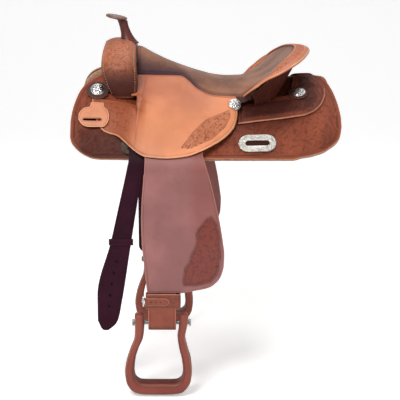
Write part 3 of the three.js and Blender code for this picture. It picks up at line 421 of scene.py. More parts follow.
def jockey_point(x, share, inset=0.0):
    """The seat jockey's outer face, share 0 at its upper edge to 1 at its lower."""
    past = np.maximum(0, x - 74)
    front_out = jockey_front_out(x)
    front_z = base_z(x, front_out, JOCKEY_HIGH)
    by_seat = smooth(-173.4, -171.8, x)
    top_out = front_out * (1 - by_seat) + (seat_half(x) + 0.4 + past * 1.2) * by_seat
    top_z = front_z * (1 - by_seat) + (seat_edge_z(x) - past * 1.6) * by_seat
    edge_out, edge_z = jockey_edge_out(x), jockey_edge_z(x)
    last = np.radians(jockey_edge_slope(x) + 2)
    first, radius = arc_to(top_out, top_z, edge_out, edge_z, last)
    angle = first + (last - first) * share
    out = top_out - radius * np.sin(first) + radius * np.sin(angle)
    z = top_z - radius * np.cos(first) + radius * np.cos(angle)
    # Behind the swell the panel eases down to the line of its front part.
    low_first, low_radius = arc_to(front_out, front_z, edge_out, edge_z, last)
    low_sine = (out - front_out) / low_radius + np.sin(low_first)
    low_angle = np.arcsin(np.clip(low_sine, -1, 1))
    low_z = front_z - low_radius * np.cos(low_first) + low_radius * np.cos(low_angle)
    z = z + (low_z - z) * smooth(-146, -171, x) * by_seat * smooth(146, 176, out)
    # At the upper edge the inset goes straight down.
    lean = smooth(0, 0.03, share)
    return xyz(x, -(out - inset * np.sin(angle) * lean),
               z - inset * (lean * np.cos(angle) + 1 - lean))


# ------------------------------------------------------------------ materials
def srgb(colour):
    return tuple(c / 12.92 if c <= 0.04045 else ((c + 0.055) / 1.055) ** 2.4
                 for c in (v / 255 for v in colour)) + (1.0,)


def tint(colour, factor):
    return tuple(min(1, v * factor) for v in colour[:3]) + (1,)


class Shader:
    """A node material with a Principled surface, and short calls to add to it."""

    def __init__(self, name, textured=True):
        self.material = bpy.data.materials.new(name)
        self.material.use_nodes = True
        self.tree = self.material.node_tree
        self.tree.nodes.clear()
        output = self.new("ShaderNodeOutputMaterial")
        self.principled = self.new("ShaderNodeBsdfPrincipled")
        self.put(output.inputs[0], self.principled.outputs[0])
        if textured:
            self.place = self.new("ShaderNodeTexCoord").outputs["Object"]

    def new(self, kind):
        return self.tree.nodes.new(kind)

    def put(self, socket, value):
        if hasattr(value, "is_output"):
            self.tree.links.new(value, socket)
        else:
            socket.default_value = value

    def surface(self, values):
        for name, value in values.items():
            self.put(self.principled.inputs[name], value)

    def texture(self, kind, values, stretch=None):
        node = self.new(kind)
        for name, value in values.items():
            node.inputs[name].default_value = value
        place = self.place
        if stretch:
            mapping = self.new("ShaderNodeMapping")
            mapping.inputs["Scale"].default_value = stretch
            self.put(mapping.inputs[0], place)
            place = mapping.outputs[0]
        self.put(node.inputs["Vector"], place)
        return node

    def noise(self, scale, detail=4.0, rough=0.55, stretch=None, distortion=0.0):
        values = {"Scale": scale, "Detail": detail, "Roughness": rough, "Distortion": distortion}
        return self.texture("ShaderNodeTexNoise", values, stretch).outputs[0]

    def voronoi(self, scale, feature="F1"):
        node = self.texture("ShaderNodeTexVoronoi", {"Scale": scale})
        node.feature = feature
        return node.outputs["Distance"]

    def wave(self, scale, distortion, detail, detail_scale=1.0, shape="BANDS"):
        values = {"Scale": scale, "Distortion": distortion, "Detail": detail,
                  "Detail Scale": detail_scale}
        node = self.texture("ShaderNodeTexWave", values)
        node.wave_type = shape
        return node.outputs["Fac"]

    def attribute(self, name):
        node = self.new("ShaderNodeAttribute")
        node.attribute_name = name
        return node.outputs["Fac"]

    def ramp(self, value, start, end, low=0.0, high=1.0):
        node = self.new("ShaderNodeMapRange")
        node.interpolation_type = "SMOOTHSTEP"
        for i, item in enumerate((value, start, end, low, high)):
            self.put(node.inputs[i], item)
        return node.outputs[0]

    def math(self, operation, first, second, clamped=False):
        node = self.new("ShaderNodeMath")
        node.operation = operation
        node.use_clamp = clamped
        self.put(node.inputs[0], first)
        self.put(node.inputs[1], second)
        return node.outputs[0]

    def times(self, first, second, clamped=False):
        return self.math("MULTIPLY", first, second, clamped)

    def mix(self, factor, first, second):
        node = self.new("ShaderNodeMix")
        node.data_type = "RGBA"
        for i, item in ((0, factor), (6, first), (7, second)):
            self.put(node.inputs[i], item)
        return node.outputs[2]

    def bump(self, height, strength, distance, normal=None):
        node = self.new("ShaderNodeBump")
        node.inputs["Strength"].default_value = strength
        node.inputs["Distance"].default_value = distance
        self.put(node.inputs["Height"], height)
        if normal is not None:
            self.put(node.inputs["Normal"], normal)
        return node.outputs[0]


# The mesh attributes "tool", "shade" and "edge" say where a finish is cut and darkened, where it
# carries painted shade or a darker tone of its own, and where it is worn; "tool" also carries
# painted shadow in slots, punched holes and between the turns of the horn's cord.
def leather(name, colour, dark, edge, shade, rough, coat, grain, mottle, sheen, specular):
    s = Shader(name)
    broad = s.noise(scale=7, detail=3)
    blotch = s.noise(scale=38, detail=5, rough=0.6)
    fine = s.noise(scale=420, detail=3, rough=0.6)
    skin = s.mix(s.ramp(broad, 0.36, 0.66),
                 tint(colour, 1 - mottle * 0.55), tint(colour, 1 + mottle * 0.35))
    skin = s.mix(s.times(s.ramp(blotch, 0.48, 0.78), mottle), skin, tint(colour, 0.6))
    skin = s.mix(s.times(s.ramp(fine, 0.5, 0.8), 0.35), skin, tint(colour, 0.72))
    skin = s.mix(s.attribute("shade"), skin, shade)
    tool = s.attribute("tool")
    skin = s.mix(s.times(tool, 0.92, clamped=True), skin, dark)
    wear = s.times(s.attribute("edge"), s.ramp(blotch, 0.3, 0.6, 0.55, 1.0), clamped=True)
    pores = s.ramp(s.voronoi(620, "DISTANCE_TO_EDGE"), 0.0, 0.22)
    normal = s.bump(pores, strength=grain, distance=0.0003)
    roughness = s.ramp(blotch, 0.3, 0.75, rough - 0.07, rough + 0.12)
    s.surface({
        "Base Color": s.mix(wear, skin, edge),
        "Roughness": s.math("ADD", roughness, s.times(tool, 0.2)),
        "Coat Weight": coat,
        "Coat Roughness": 0.32,
        "Specular IOR Level": specular,
        "Normal": s.bump(s.noise(scale=190), grain * 0.7, 0.0006, normal)})
    if sheen:
        s.surface({"Sheen Weight": sheen, "Sheen Roughness": 0.5})
    return s.material


def suede(name, colour, dark, shade):
    s = Shader(name)
    nap = s.noise(scale=13, detail=3, rough=0.5)
    blotch = s.noise(scale=90, detail=5, rough=0.65)
    fine = s.noise(scale=1100, detail=3, rough=0.7)
    skin = s.mix(s.ramp(nap, 0.35, 0.68), dark, colour)
    skin = s.mix(s.times(s.ramp(blotch, 0.45, 0.75), 0.35), skin, tint(colour, 1.35))
    skin = s.mix(s.times(s.ramp(fine, 0.42, 0.7), 0.4), skin, tint(colour, 0.6))
    skin = s.mix(s.attribute("shade"), skin, shade)
    normal = s.bump(fine, strength=0.55, distance=0.0005)
    s.surface({
        "Base Color": s.mix(s.attribute("tool"), skin, tint(dark, 0.35)),
        "Roughness": 0.92,
        "Specular IOR Level": 0.15,
        "Sheen Weight": 0.35,
        "Sheen Roughness": 0.4,
        "Normal": s.bump(blotch, 0.25, 0.0012, normal)})
    return s.material


def metal(name, colour, dark, rough, tarnish, engrave=0.0):
    s = Shader(name)
    blotch = s.noise(scale=60)
    brushed = s.noise(scale=500, detail=3, rough=0.6, stretch=(1, 1, 0.2))
    skin = s.mix(s.times(s.ramp(blotch, 0.5, 0.8), tarnish), colour, tint(colour, 0.55))
    normal = s.bump(brushed, strength=0.12, distance=0.0002)
    if engrave:
        rings = s.wave(scale=90, distortion=9, detail=1.5, detail_scale=1.2, shape="RINGS")
        pattern = s.ramp(rings, 0.2, 0.5)
        skin = s.mix(s.times(s.math("SUBTRACT", 1.0, pattern), engrave), skin, dark)
        normal = s.bump(pattern, 0.3, 0.0005, normal)
    s.surface({
        "Base Color": s.mix(s.attribute("tool"), skin, dark),
        "Metallic": 1.0,
        "Roughness": s.ramp(blotch, 0.3, 0.7, rough, rough + 0.16),
        "Normal": normal})
    return s.material


def wood(name, dark, light, streak):
    s = Shader(name)
    rings = s.wave(scale=22, distortion=5, detail=3)
    streaks = s.noise(scale=300, rough=0.7, stretch=(0.15, 1, 1))
    s.surface({
        "Base Color": s.mix(s.times(streaks, 0.4), s.mix(rings, dark, light), streak),
        "Roughness": 0.6,
        "Normal": s.bump(rings, strength=0.2, distance=0.0004)})
    return s.material


def fluffy(name, colour, dark, scale, strength):
    s = Shader(name)
    tufts = s.noise(scale=scale, detail=5, rough=0.65, distortion=0.8)
    skin = s.mix(s.ramp(tufts, 0.3, 0.7), dark, colour)
    normal = s.bump(tufts, strength, 0.002)
    s.surface({
        "Base Color": s.mix(s.attribute("tool"), skin, dark),
        "Roughness": 1.0,
        "Specular IOR Level": 0.1,
        "Sheen Weight": 0.5,
        "Normal": s.bump(s.voronoi(scale * 1.6), strength * 0.6, 0.0015, normal)})
    return s.material


def thread(name, colour):
    s = Shader(name)
    fibre = s.noise(scale=1500, detail=2)
    s.surface({
        "Base Color": s.mix(fibre, tint(colour, 0.6), colour),
        "Roughness": 0.75,
        "Normal": s.bump(fibre, strength=0.4, distance=0.0002)})
    return s.material


# Key, material, slot, the sRGB colours (leather, tooled, worn edge, and the colour for painted
# shade and darker tone), then roughness, coat, grain, mottle, sheen, specular.
LEATHERS = [
    ("jockey", "tan_skirting", "tan_leather",
     (220, 140, 98), (106, 50, 32), (236, 182, 138), (158, 82, 50),
     0.42, 0.06, 0.24, 0.24, 0, 0.24),
    ("swell", "swell_leather", "russet_leather",
     (176, 104, 72), (74, 34, 26), (186, 118, 84), (68, 26, 21),
     0.44, 0.06, 0.3, 0.32, 0, 0.26),
    ("skirt", "skirt_leather", "russet_leather",
     (140, 68, 43), (44, 16, 11), (204, 146, 112), (80, 31, 19),
     0.54, 0, 0.3, 0.34, 0, 0.2),
    ("rear", "rear_jockey_leather", "dark_leather",
     (134, 66, 46), (48, 18, 13), (194, 136, 104), (60, 22, 14),
     0.54, 0, 0.3, 0.3, 0, 0.2),
    ("roll", "cantle_leather", "tan_leather",
     (186, 104, 70), (98, 46, 32), (226, 170, 128), (80, 36, 30),
     0.42, 0.12, 0.3, 0.25, 0, 0.3),
    ("fender", "fender_leather_finish", "fender_leather",
     (155, 101, 98), (72, 30, 26), (178, 120, 104), (130, 58, 46),
     0.42, 0.14, 0.26, 0.3, 0.2, 0.3),
    ("strap", "strap_leather", "tan_leather",
     (150, 78, 60), (76, 34, 28), (196, 134, 104), (100, 50, 42),
     0.44, 0.15, 0.28, 0.28, 0, 0.3),
    ("stirrup", "stirrup_cover", "stirrup_leather_cover",
     (148, 74, 60), (64, 28, 24), (176, 104, 82), (92, 40, 34),
     0.42, 0.16, 0.3, 0.28, 0, 0.3),
    ("latigo", "latigo_leather_finish", "latigo_leather",
     (50, 15, 31), (16, 5, 10), (76, 34, 48), (34, 9, 20),
     0.58, 0, 0.3, 0.34, 0, 0.12),
    ("horn", "horn_leather", "dark_leather",
     (92, 38, 32), (38, 14, 14), (136, 78, 62), (54, 22, 22),
     0.34, 0.25, 0.25, 0.25, 0, 0.3),
    ("cap", "horn_cap_leather", "tan_leather",
     (96, 58, 48), (44, 22, 20), (138, 92, 76), (66, 32, 30),
     0.2, 0.7, 0.2, 0.25, 0, 0.3),
    ("rosette", "rosette_leather", "dark_leather",
     (78, 44, 38), (36, 18, 16), (120, 72, 58), (50, 26, 24),
     0.48, 0.1, 0.3, 0.25, 0, 0.3),
    ("keeper", "keeper_leather", "tan_leather",
     (222, 144, 104), (96, 46, 32), (236, 180, 140), (160, 92, 66),
     0.42, 0.1, 0.26, 0.25, 0, 0.3),
]
FINISHES = {}  # key: (material, slot or None)
for key, name, slot, *rest in LEATHERS:
    FINISHES[key] = leather(name, *map(srgb, rest[:4]), *rest[4:]), slot

# Key, maker, material, slot, sRGB colours, other settings.
for key, maker, name, slot, colours, settings in [
        ("suede", suede, "seat_suede", "suede",
         [(150, 104, 82), (110, 74, 58), (66, 48, 56)], {}),
        ("silver", metal, "silver_plain", "silver",
         [(222, 220, 216), (70, 66, 62)], dict(rough=0.2, tarnish=0.35)),
        ("engraved", metal, "silver_engraved", "silver",
         [(218, 214, 206), (84, 78, 70)], dict(rough=0.26, tarnish=0.35, engrave=0.3)),
        ("dark_steel", metal, "steel_blackened", "steel",
         [(74, 62, 56), (34, 28, 26)], dict(rough=0.5, tarnish=0.6)),
        ("steel", metal, "steel_plain", "steel",
         [(160, 158, 156), (70, 68, 66)], dict(rough=0.34, tarnish=0.5)),
        ("wood", wood, "tree_wood", "wood",
         [(112, 78, 48), (150, 112, 72), (110, 74, 44)], {}),
        ("foam", fluffy, "seat_foam_cells", "foam",
         [(104, 88, 78), (74, 62, 56)], dict(scale=220, strength=0.5)),
        ("fleece", fluffy, "fleece_wool", "fleece",
         [(196, 156, 120), (136, 98, 70)], dict(scale=130, strength=0.9)),
        ("thread", thread, "linen_thread", None, [(232, 206, 168)], {}),
        ("brown_thread", thread, "brown_thread", None, [(104, 58, 44)], {})]:
    FINISHES[key] = maker(name, *map(srgb, colours), **settings), slot


# ------------------------------------------------------------------ meshes
def link(thing):
    bpy.context.scene.collection.objects.link(thing)


def make(name, points, faces, finish, body, attributes=None, replaces=()):
    """A smooth closed mesh from points in millimetres, its faces turned to look outward."""
    points = np.asarray(points, float)
    sizes = np.array([len(face) for face in faces])
    starts = np.cumsum(sizes) - sizes
    corners = np.concatenate(faces)
    first, following = np.repeat(corners[starts], sizes), np.roll(corners, -1)
    fans = (np.cross(points[first], points[corners]) * points[following]).sum(-1)
    fans[starts - 1] = 0
    if fans.sum() < 0:
        corners = np.concatenate([face[::-1] for face in faces])
    mesh = bpy.data.meshes.new(name)
    mesh.vertices.add(len(points))
    mesh.vertices.foreach_set("co", (points * 0.001).astype(np.float32).ravel())
    mesh.loops.add(len(corners))
    mesh.loops.foreach_set("vertex_index", corners.astype(np.int32))
    mesh.polygons.add(len(faces))
    mesh.polygons.foreach_set("loop_start", starts.astype(np.int32))
    mesh.update(calc_edges=True)
    mesh.validate()
    mesh.polygons.foreach_set("use_smooth", np.full(len(mesh.polygons), True))
    for key, values in (attributes or {}).items():
        layer = mesh.attributes.new(key, "FLOAT", "POINT")
        layer.data.foreach_set("value", np.asarray(values, np.float32).ravel())
    material, slot = FINISHES[finish]
    mesh.materials.append(material)
    piece = bpy.data.objects.new(name, mesh)
    link(piece)
    if body:
        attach(piece, body)
    if replaces:
        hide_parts(*replaces)
    return piece


def grid_normals(outer, back):
    normals = unit(np.cross(np.gradient(outer, axis=0), np.gradient(outer, axis=1)))
    return -normals if (normals * (outer - back)).sum() < 0 else normals


COLUMN_EDGES = ("first column", "last column")
ALL_EDGES = ("first row", "last row") + COLUMN_EDGES


def edge_distance(grid, sides):
    """Distance of each grid point from the named edges, which are sampled about every 1 mm."""
    lines = {"first row": grid[0], "last row": grid[-1],
             "first column": grid[:, 0], "last column": grid[:, -1]}
    samples = []
    for side in sides:
        length = arc_length(lines[side])
        at = np.linspace(0, length[-1], int(length[-1]) + 2)
        samples.append(interp_rows(at, length, lines[side]))
    samples = np.vstack(samples)
    tree = kdtree.KDTree(len(samples))
    for i, point in enumerate(samples):
        tree.insert(point, i)
    tree.balance()
    found = [tree.find(point)[2] for point in grid.reshape(-1, 3).tolist()]
    return np.array(found).reshape(grid.shape[:2])


def grid_faces(rows, columns, closed):
    """Quads of two like grids, one under the other, and the walls joining their edges."""
    def at(i, j):
        return (i % rows) * columns + j

    def wall(start, end, flipped):
        quads = np.stack([start, end, end + under, start + under], -1)
        return quads[:, ::-1] if flipped else quads

    under = rows * columns
    steps, across = np.arange(rows if closed else rows - 1), np.arange(columns - 1)
    i, j = np.meshgrid(steps, across, indexing="ij")
    top = np.stack([at(i, j), at(i + 1, j), at(i + 1, j + 1), at(i, j + 1)], -1).reshape(-1, 4)
    faces = [top, (top + under)[:, ::-1]]
    if not closed:
        faces += [wall(at(row, across), at(row, across + 1), row > 0) for row in (0, rows - 1)]
    faces += [wall(at(steps + 1, column), at(steps, column), column > 0)
              for column in (0, columns - 1)]
    return np.vstack(faces)


def rounding(margin, radius):
    """How far a surface falls near a rounded edge."""
    inside = np.maximum(0, radius - margin)
    return radius - np.sqrt(radius ** 2 - inside ** 2)


def plain(tool=0, shade=0):
    """A field for unworked leather."""
    def field(points, margin, along, across):
        return 0 * margin, tool + 0 * margin, shade + 0 * margin
    return field


def sheet(name, outer, back, finish, field=plain(), body="saddle", mirror=1, radius=None,
          replaces=(), closed=False, wear=1.4, curls=None, worn=None):
    """A panel between two grids, rounded at the edges and worked by its field.

    A field takes the points, their margin from the edge and their lengths along the rows and
    columns; it gives the relief, the tooling and the shade. Returns piece, surface, normals.
    """
    if closed:
        normals = grid_normals(*(np.concatenate([g[-2:], g, g[:2]]) for g in (outer, back)))
        normals = normals[2:-2]
    else:
        normals = grid_normals(outer, back)
    margin = edge_distance(outer, COLUMN_EDGES if closed else ALL_EDGES)
    lengths = arc_length(outer, 0), arc_length(outer, 1)
    half = 0.46 * float(np.median(np.linalg.norm(outer - back, axis=-1)))
    radius = radius or half
    relief, tool, shade = field(outer, margin, *lengths)
    relief = relief * smooth(0, 2.2, margin) - rounding(margin, radius)
    back_relief = rounding(margin, min(radius, half))
    if curls:
        back_relief = back_relief + curls(outer, margin, *lengths)
    edge = gauss(edge_distance(outer, worn) if worn else margin, 0, wear)
    top = outer + normals * relief[..., None]
    under = back + normals * back_relief[..., None]
    points = np.concatenate([top, under]).reshape(-1, 3)
    points[:, 1] *= mirror
    blank = 0 * margin
    attributes = {"tool": [tool + blank, blank], "shade": [shade + blank, 0.3 + blank],
                  "edge": [edge, edge * 0.8]}
    piece = make(name, points, grid_faces(*outer.shape[:2], closed), finish, body, attributes,
                 replaces)
    piece["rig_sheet"] = 1
    return piece, top, normals


def loft(name, rings, finish, body="saddle", mirror=1, replaces=(), **attributes):
    """Closed rings one after another, a fan at each end."""
    count, around = rings.shape[:2]
    points = np.vstack([rings.reshape(-1, 3), rings[0].mean(0), rings[-1].mean(0)])
    points[:, 1] *= mirror
    i, k = np.meshgrid(np.arange(count - 1) * around, np.arange(around), indexing="ij")
    after = (k + 1) % around
    quads = [i + k, i + after, i + around + after, i + around + k]
    faces = np.stack(quads, -1).reshape(-1, 4).tolist()
    start, end, last = count * around, count * around + 1, (count - 1) * around
    for k in range(around):
        after = (k + 1) % around
        faces += [[start, after, k], [end, last + k, last + after]]
    padded = {}
    for key, values in attributes.items():
        values = np.broadcast_to(values, (count, around))
        padded[key] = np.concatenate([values.ravel(), [values[0].mean(), values[-1].mean()]])
    return make(name, points, faces, finish, body, padded, replaces)


def ring_normals(rings):
    """Outward directions of a loft's rings."""
    around = (np.roll(rings, -1, 1) - np.roll(rings, 1, 1)) / 2
    normals = unit(np.cross(np.gradient(rings, axis=0), around))
    outward = rings - rings.mean(1, keepdims=True)
    return -normals if (normals * outward).sum() < 0 else normals


# One stitch: rings as (place along it, share of its radius), six corners each, then two tips.
STITCH_CORNERS = 6
STITCH = np.array([(place, size * math.cos(angle), size * math.sin(angle))
                   for place, size in ((-0.42, 0.75), (-0.2, 1.0), (0.2, 1.0), (0.42, 0.75))
                   for angle in turn(STITCH_CORNERS)] + [(-0.5, 0, 0), (0.5, 0, 0)])


def stitch_faces():
    corners = STITCH_CORNERS
    faces = []
    for row in range(3):
        low, high = row * corners, (row + 1) * corners
        for k in range(corners):
            after = (k + 1) % corners
            faces.append((low + k, low + after, high + after, high + k))
    for k in range(corners):
        after = (k + 1) % corners
        faces += [(4 * corners, after, k), (4 * corners + 1, 3 * corners + k, 3 * corners + after)]
    return faces


def stitches(name, path, normal, body="saddle", mirror=1, length=4.2, gap=2.2, radius=0.55,
             finish="thread", sink=0.1):
    """Small rounded stitches set along a line on a surface."""
    place = arc_length(path)
    total = place[-1]
    count = int((total - gap) // (length + gap))
    middle = (np.arange(count) + 0.5) * (total / count)
    ahead = interp_rows(np.minimum(middle + 1, total), place, path)
    along = unit(ahead - interp_rows(np.maximum(middle - 1, 0), place, path))
    up = unit(interp_rows(middle, place, normal))
    across = unit(np.cross(along, up))
    centre = interp_rows(middle, place, path) - up * sink
    shape = STITCH * [length, radius, radius]
    points = centre[:, None] + shape @ np.stack([along, across, up], 1)
    points = points.reshape(-1, 3)
    points[:, 1] *= mirror
    faces = [tuple(i * len(STITCH) + k for k in face)
             for i in range(count) for face in stitch_faces()]
    make(name, points, faces, finish, body)


def inset_line(grid, normals, depth, low, high):
    """The line a given depth in from a grid's first column, between two shares of its rows."""
    line, line_normals = [], []
    last = len(grid) - 1
    for i in range(int(low * last), int(high * last) + 1):
        place = arc_length(grid[i])
        if place[-1] >= 2 * depth:
            line.append(interp_rows(depth, place, grid[i]))
            line_normals.append(interp_rows(depth, place, normals[i]))
    return np.array(line), np.array(line_normals)


# ------------------------------------------------------------------ panels on both sides
def slot_distance(points, centre, half_length):
    """Distance from a slot that lies along x."""
    away = np.hypot(points[..., 1] - centre[1], points[..., 2] - centre[2])
    return np.hypot(np.maximum(np.abs(points[..., 0] - centre[0]) - half_length, 0), away)


KEEPER_X, KEEPER_SHARE, KEEPER_HALF = -281.0, 0.7, 19.5


def keeper_shadow(points, side):
    """Painted shadow on the leather seen through the keeper's slot, on the near side only."""
    centre = on_base(KEEPER_X, KEEPER_SHARE, 20.0)
    return smooth(10, 7.5, slot_distance(points, centre, KEEPER_HALF)) * (side == "near")


plate = nodes["rear_rigging_plate_near"]
plate_points = np.array([tuple(plate.matrix_world @ v.co) for v in plate.data.vertices]) * 1000
plate_centre = (plate_points.max(0) + plate_points.min(0)) / 2

# Skirt edges as x, share.
skirt_top = curve([
    [-335.5, 0.7], [-332.5, 0.616], [-325, 0.513], [-315, 0.422], [-298.5, 0.336],
    [-275.8, 0.271], [-255, 0.224], [-230, 0.191], [-180, 0.174], [-120, 0.169], [-40, 0.171],
    [0, 0.168], [70, 0.168], [120, 0.125], [160, 0.066], [200, 0.019], [260, 0.01],
    [295, 0.014], [305, 0.067], [317.5, 0.212], [327.5, 0.376], [332.5, 0.498], [335.5, 0.595]])
skirt_bottom = curve([
    [-335.5, 0.828], [-332.5, 0.864], [-325, 0.899], [-315, 0.932], [-298.5, 0.967],
    [-275.8, 0.994], [-255, 1], [210, 1], [235, 0.981], [260, 0.964], [285, 0.936],
    [305, 0.893], [317.5, 0.855], [327.5, 0.811], [332.5, 0.759], [335.5, 0.696]])
# Top of the painted shadow under the rear jockey's lower edge: x, side height.
rear_shadow = curve([[47.5, 615], [75, 617.5], [140, 621.25], [210, 627.5], [247.5, 640],
                     [275, 662.5], [292.5, 695]])


def skirt(side, mirror):
    def field(points, margin, along, across):
        x, height = points[..., 0], side_height(points)
        relief, dark = carve(x + 400, across, seed=3, cell=32)
        carved = smooth(12.5, 14.5, margin)
        grooves = gauss(margin, 8.5, 0.8) + gauss(margin, 11.4, 0.7)
        bead = gauss(margin, 10, 0.8) * 0.25
        # Painted shadow on the skirt where it shows through the rear rigging plate's slot.
        slot = smooth(9.5, 7.5, slot_distance(points, plate_centre, 21))
        # Painted shadow below the rear jockey's lower edge, and painted shade low on the front of
        # the skirt; the patina is the leather's own mottled tone.
        under = np.exp(-np.clip(rear_shadow(x) - height, 0, 150) / 18.75)
        under = under * smooth(300, 265, x) * smooth(50, 75, x)
        low_front_shade = smooth(610, 580, height) * smooth(-140, -170, x) * smooth(-332.5, -300, x)
        patina = smooth(0.42, 0.72, fractal(x, across, 80, 7))
        relief = (carved * (relief * 1.1 - 0.8) - grooves * 0.8 + bead
                  + 0.35 * (fractal(x, across, 60, 2) - 0.5))
        tool = carved * dark * 0.45 + grooves * 0.7 + slot + keeper_shadow(points, side)
        return relief, clamp(tool), clamp(0.4 * patina + 0.9 * under + 0.9 * low_front_shade)

    x, share = panel_grid(span(-335.5, 335.5, 2.3), spaced(250, 2.3), skirt_top, skirt_bottom)
    wave = 0.9 * (fractal(x, 0, 130, 5) - 0.5) * smooth(0.75, 1.0, share)
    sheet("skirt_leather_" + side, on_base(x, share, SKIRT_HIGH + wave),
          on_base(x, share, SKIRT_LOW), "skirt", field, mirror=mirror,
          replaces=("skirt_" + side,))


def fleece(side, mirror):
    """The wool under the skirt, a little inside its edges."""
    def curls(points, margin, along, across):
        wool = fractal(points[..., 0], across, 11, 3)
        return (np.abs(wool - 0.5) * 9.0 - 0.3) * smooth(0, 3, margin)

    x, share = panel_grid(span(-334, 334, 4.0), spaced(250, 4.0),
                          lambda x: skirt_top(x) + 0.004, lambda x: skirt_bottom(x) - 0.004)
    sheet("fleece_wool_" + side, on_base(x, share, 12.1), on_base(x, share, 0.4), "fleece",
          mirror=mirror, radius=4.5, replaces=("fleece_" + side,), wear=0.4, curls=curls)


# Carved patch low on the seat jockey, as x, side height.
JOCKEY_PATCH = [(57.5, 642.5), (0, 617.5), (-32.5, 585), (-60, 547.5), (-40, 545), (15, 570),
                (47.5, 600), (60, 627.5)]
# Creases fanning out behind the swell: start x, start side height, downward angle, length.
JOCKEY_CREASES = [(-220, 660, 1.15, 50), (-205, 655, 0.9, 65), (-187.5, 660, 0.62, 65),
                  (-172.5, 672.5, 0.4, 60)]


def seat_jockey(side, mirror):
    def field(points, margin, along, across):
        x, height = points[..., 0], side_height(points)
        patch = outline_depth(x, height, JOCKEY_PATCH)
        relief, dark = carve(x + 300, across, seed=8, cell=26)
        relief_front, dark_front = carve(x + 300, across, seed=21, cell=34)
        in_patch, patch_rim = smooth(0.375, 2.25, patch), gauss(patch, 0, 0.875)
        # The front is carved up to a line that leans with height.
        leaning = x + 0.14 * (620 - height)
        front = smooth(-167.5, -200, leaning) * smooth(7, 9.5, margin)
        front_line = gauss(leaning, -166.25, 1.25) * smooth(7, 9.5, margin)
        groove = gauss(margin, 5.2, 0.7)
        crease = 0
        for start_x, start_height, angle, length in JOCKEY_CREASES:
            dx, fall = x - start_x, start_height - height
            run = dx * math.cos(angle) + fall * math.sin(angle)
            off = -dx * math.sin(angle) + fall * math.cos(angle)
            crease = crease + (gauss(off, 0, 3.75) * smooth(-2.5, 10, run)
                               * smooth(length, length * 0.4, run))
        relief = (in_patch * (relief - 0.7) - patch_rim * 0.8
                  + front * (relief_front * 0.9 - 0.6) - front_line * 0.5 - groove * 0.7
                  - crease * 1.1 + 0.5 * (fractal(x, across, 70, 4) - 0.5))
        tool = clamp(in_patch * (0.18 + dark * 0.72) + patch_rim * 0.9
                     + front * (0.1 + dark_front * 0.5) + front_line * 0.4 + groove * 0.55)
        # Painted shade: the upper part, which the light from above brightens, is darkened, as are
        # the strip along the upper edge under the seat and the creases. The redder carved front,
        # the patch and the mottling are the leather's own tone; the panel is also darker near its
        # edges towards the front.
        high = smooth(590, 720, height) * smooth(125, -40, x)
        shade = (smooth(-130, -205, x + 0.1 * (620 - height)) * 0.85
                 + 0.62 * high * (1 - in_patch) + in_patch * 0.32 + 0.12 * crease
                 + 0.55 * smooth(12, 0, across)
                 + 0.35 * smooth(10, 3, margin) * smooth(-65, -190, x)
                 + 0.16 * smooth(0.4, 0.7, fractal(x, across, 75, 33)))
        return relief, clamp(tool + keeper_shadow(points, side)), clamp(shade)

    # Extra rows where the upper edge steps in behind the swell.
    step_rows = [-173.6, -173.2, -172.6, -172.0, -171.4]
    x = np.unique(np.concatenate([span(-284.5, 78, 2.1), step_rows]))[:, None]
    share = spaced(190, 2.1)
    sheet("seat_jockey_leather_" + side, jockey_point(x, share), jockey_point(x, share, 4.5),
          "jockey", field, mirror=mirror, replaces=("seat_jockey_" + side,), wear=1.9,
          worn=("last column", "last row"))


def swell_tuck(side, mirror):
    """The seat jockey's tuck under the back of the swell."""
    rear_x, reach_out = -170.5, 149.0
    x = span(-186, -170.4, 2.0, THIN_EDGE[:3])
    trial = np.linspace(0, 1, 400)
    reach = np.interp(reach_out, -jockey_point(rear_x, trial)[:, 1], trial)
    share = reach * spaced(85, 2.0, THIN_EDGE[:3])

    def grid(inset):
        profile = jockey_point(rear_x, share, inset)
        return xyz(x[:, None], profile[:, 1], profile[:, 2])

    sheet("swell_tuck_leather_" + side, grid(0.9), grid(3.9), "jockey",
          plain(tool=0.12, shade=0.62), mirror=mirror, radius=0.6, wear=0.01)


# Rear jockey: x, share at its top, share at its bottom.
rear_jockey_edges = curves([
    [80, 0.388, 0.645], [97.5, 0.37, 0.641], [127.5, 0.36, 0.634], [160, 0.36, 0.629],
    [194, 0.36, 0.621], [210, 0.35, 0.613], [218, 0.2, 0.608], [227, 0.04, 0.604],
    [242, 0.022, 0.595], [257.5, 0.022, 0.574], [270.5, 0.03, 0.548], [282.5, 0.127, 0.504],
    [290, 0.155, 0.465], [297.5, 0.218, 0.396], [301.5, 0.271, 0.347]])


def rear_jockey(side, mirror):
    def field(points, margin, along, across):
        x = points[..., 0]
        relief, dark = carve(x + 700, across, seed=31, cell=30)
        carved = smooth(9, 11, margin)
        grooves = gauss(margin, 6.0, 0.8) + gauss(margin, 8.6, 0.6) * 0.8
        # Painted shade: darker inside the pale border, most towards the front under the cantle's
        # roll, and at the front end; the mottling is the leather's own tone.
        interior_shade = smooth(8, 24, margin) * (0.55 + 0.45 * smooth(292, 215, x))
        shade = (0.3 * smooth(0.4, 0.7, fractal(x, across, 70, 9)) + 0.85 * interior_shade
                 + 0.6 * smooth(110, 80, x))
        return (carved * (relief * 0.9 - 0.7) - grooves * 0.8,
                clamp(carved * dark * 0.6 + grooves * 0.9), clamp(shade))

    x, share = panel_grid(span(80, 301.5, 2.1), spaced(150, 2.1), *rear_jockey_edges)
    sheet("rear_jockey_leather_" + side, on_base(x, share, JOCKEY_HIGH),
          on_base(x, share, JOCKEY_LOW), "rear", field, mirror=mirror,
          replaces=("rear_jockey_" + side,), wear=2.0, worn=("last column", "last row"))


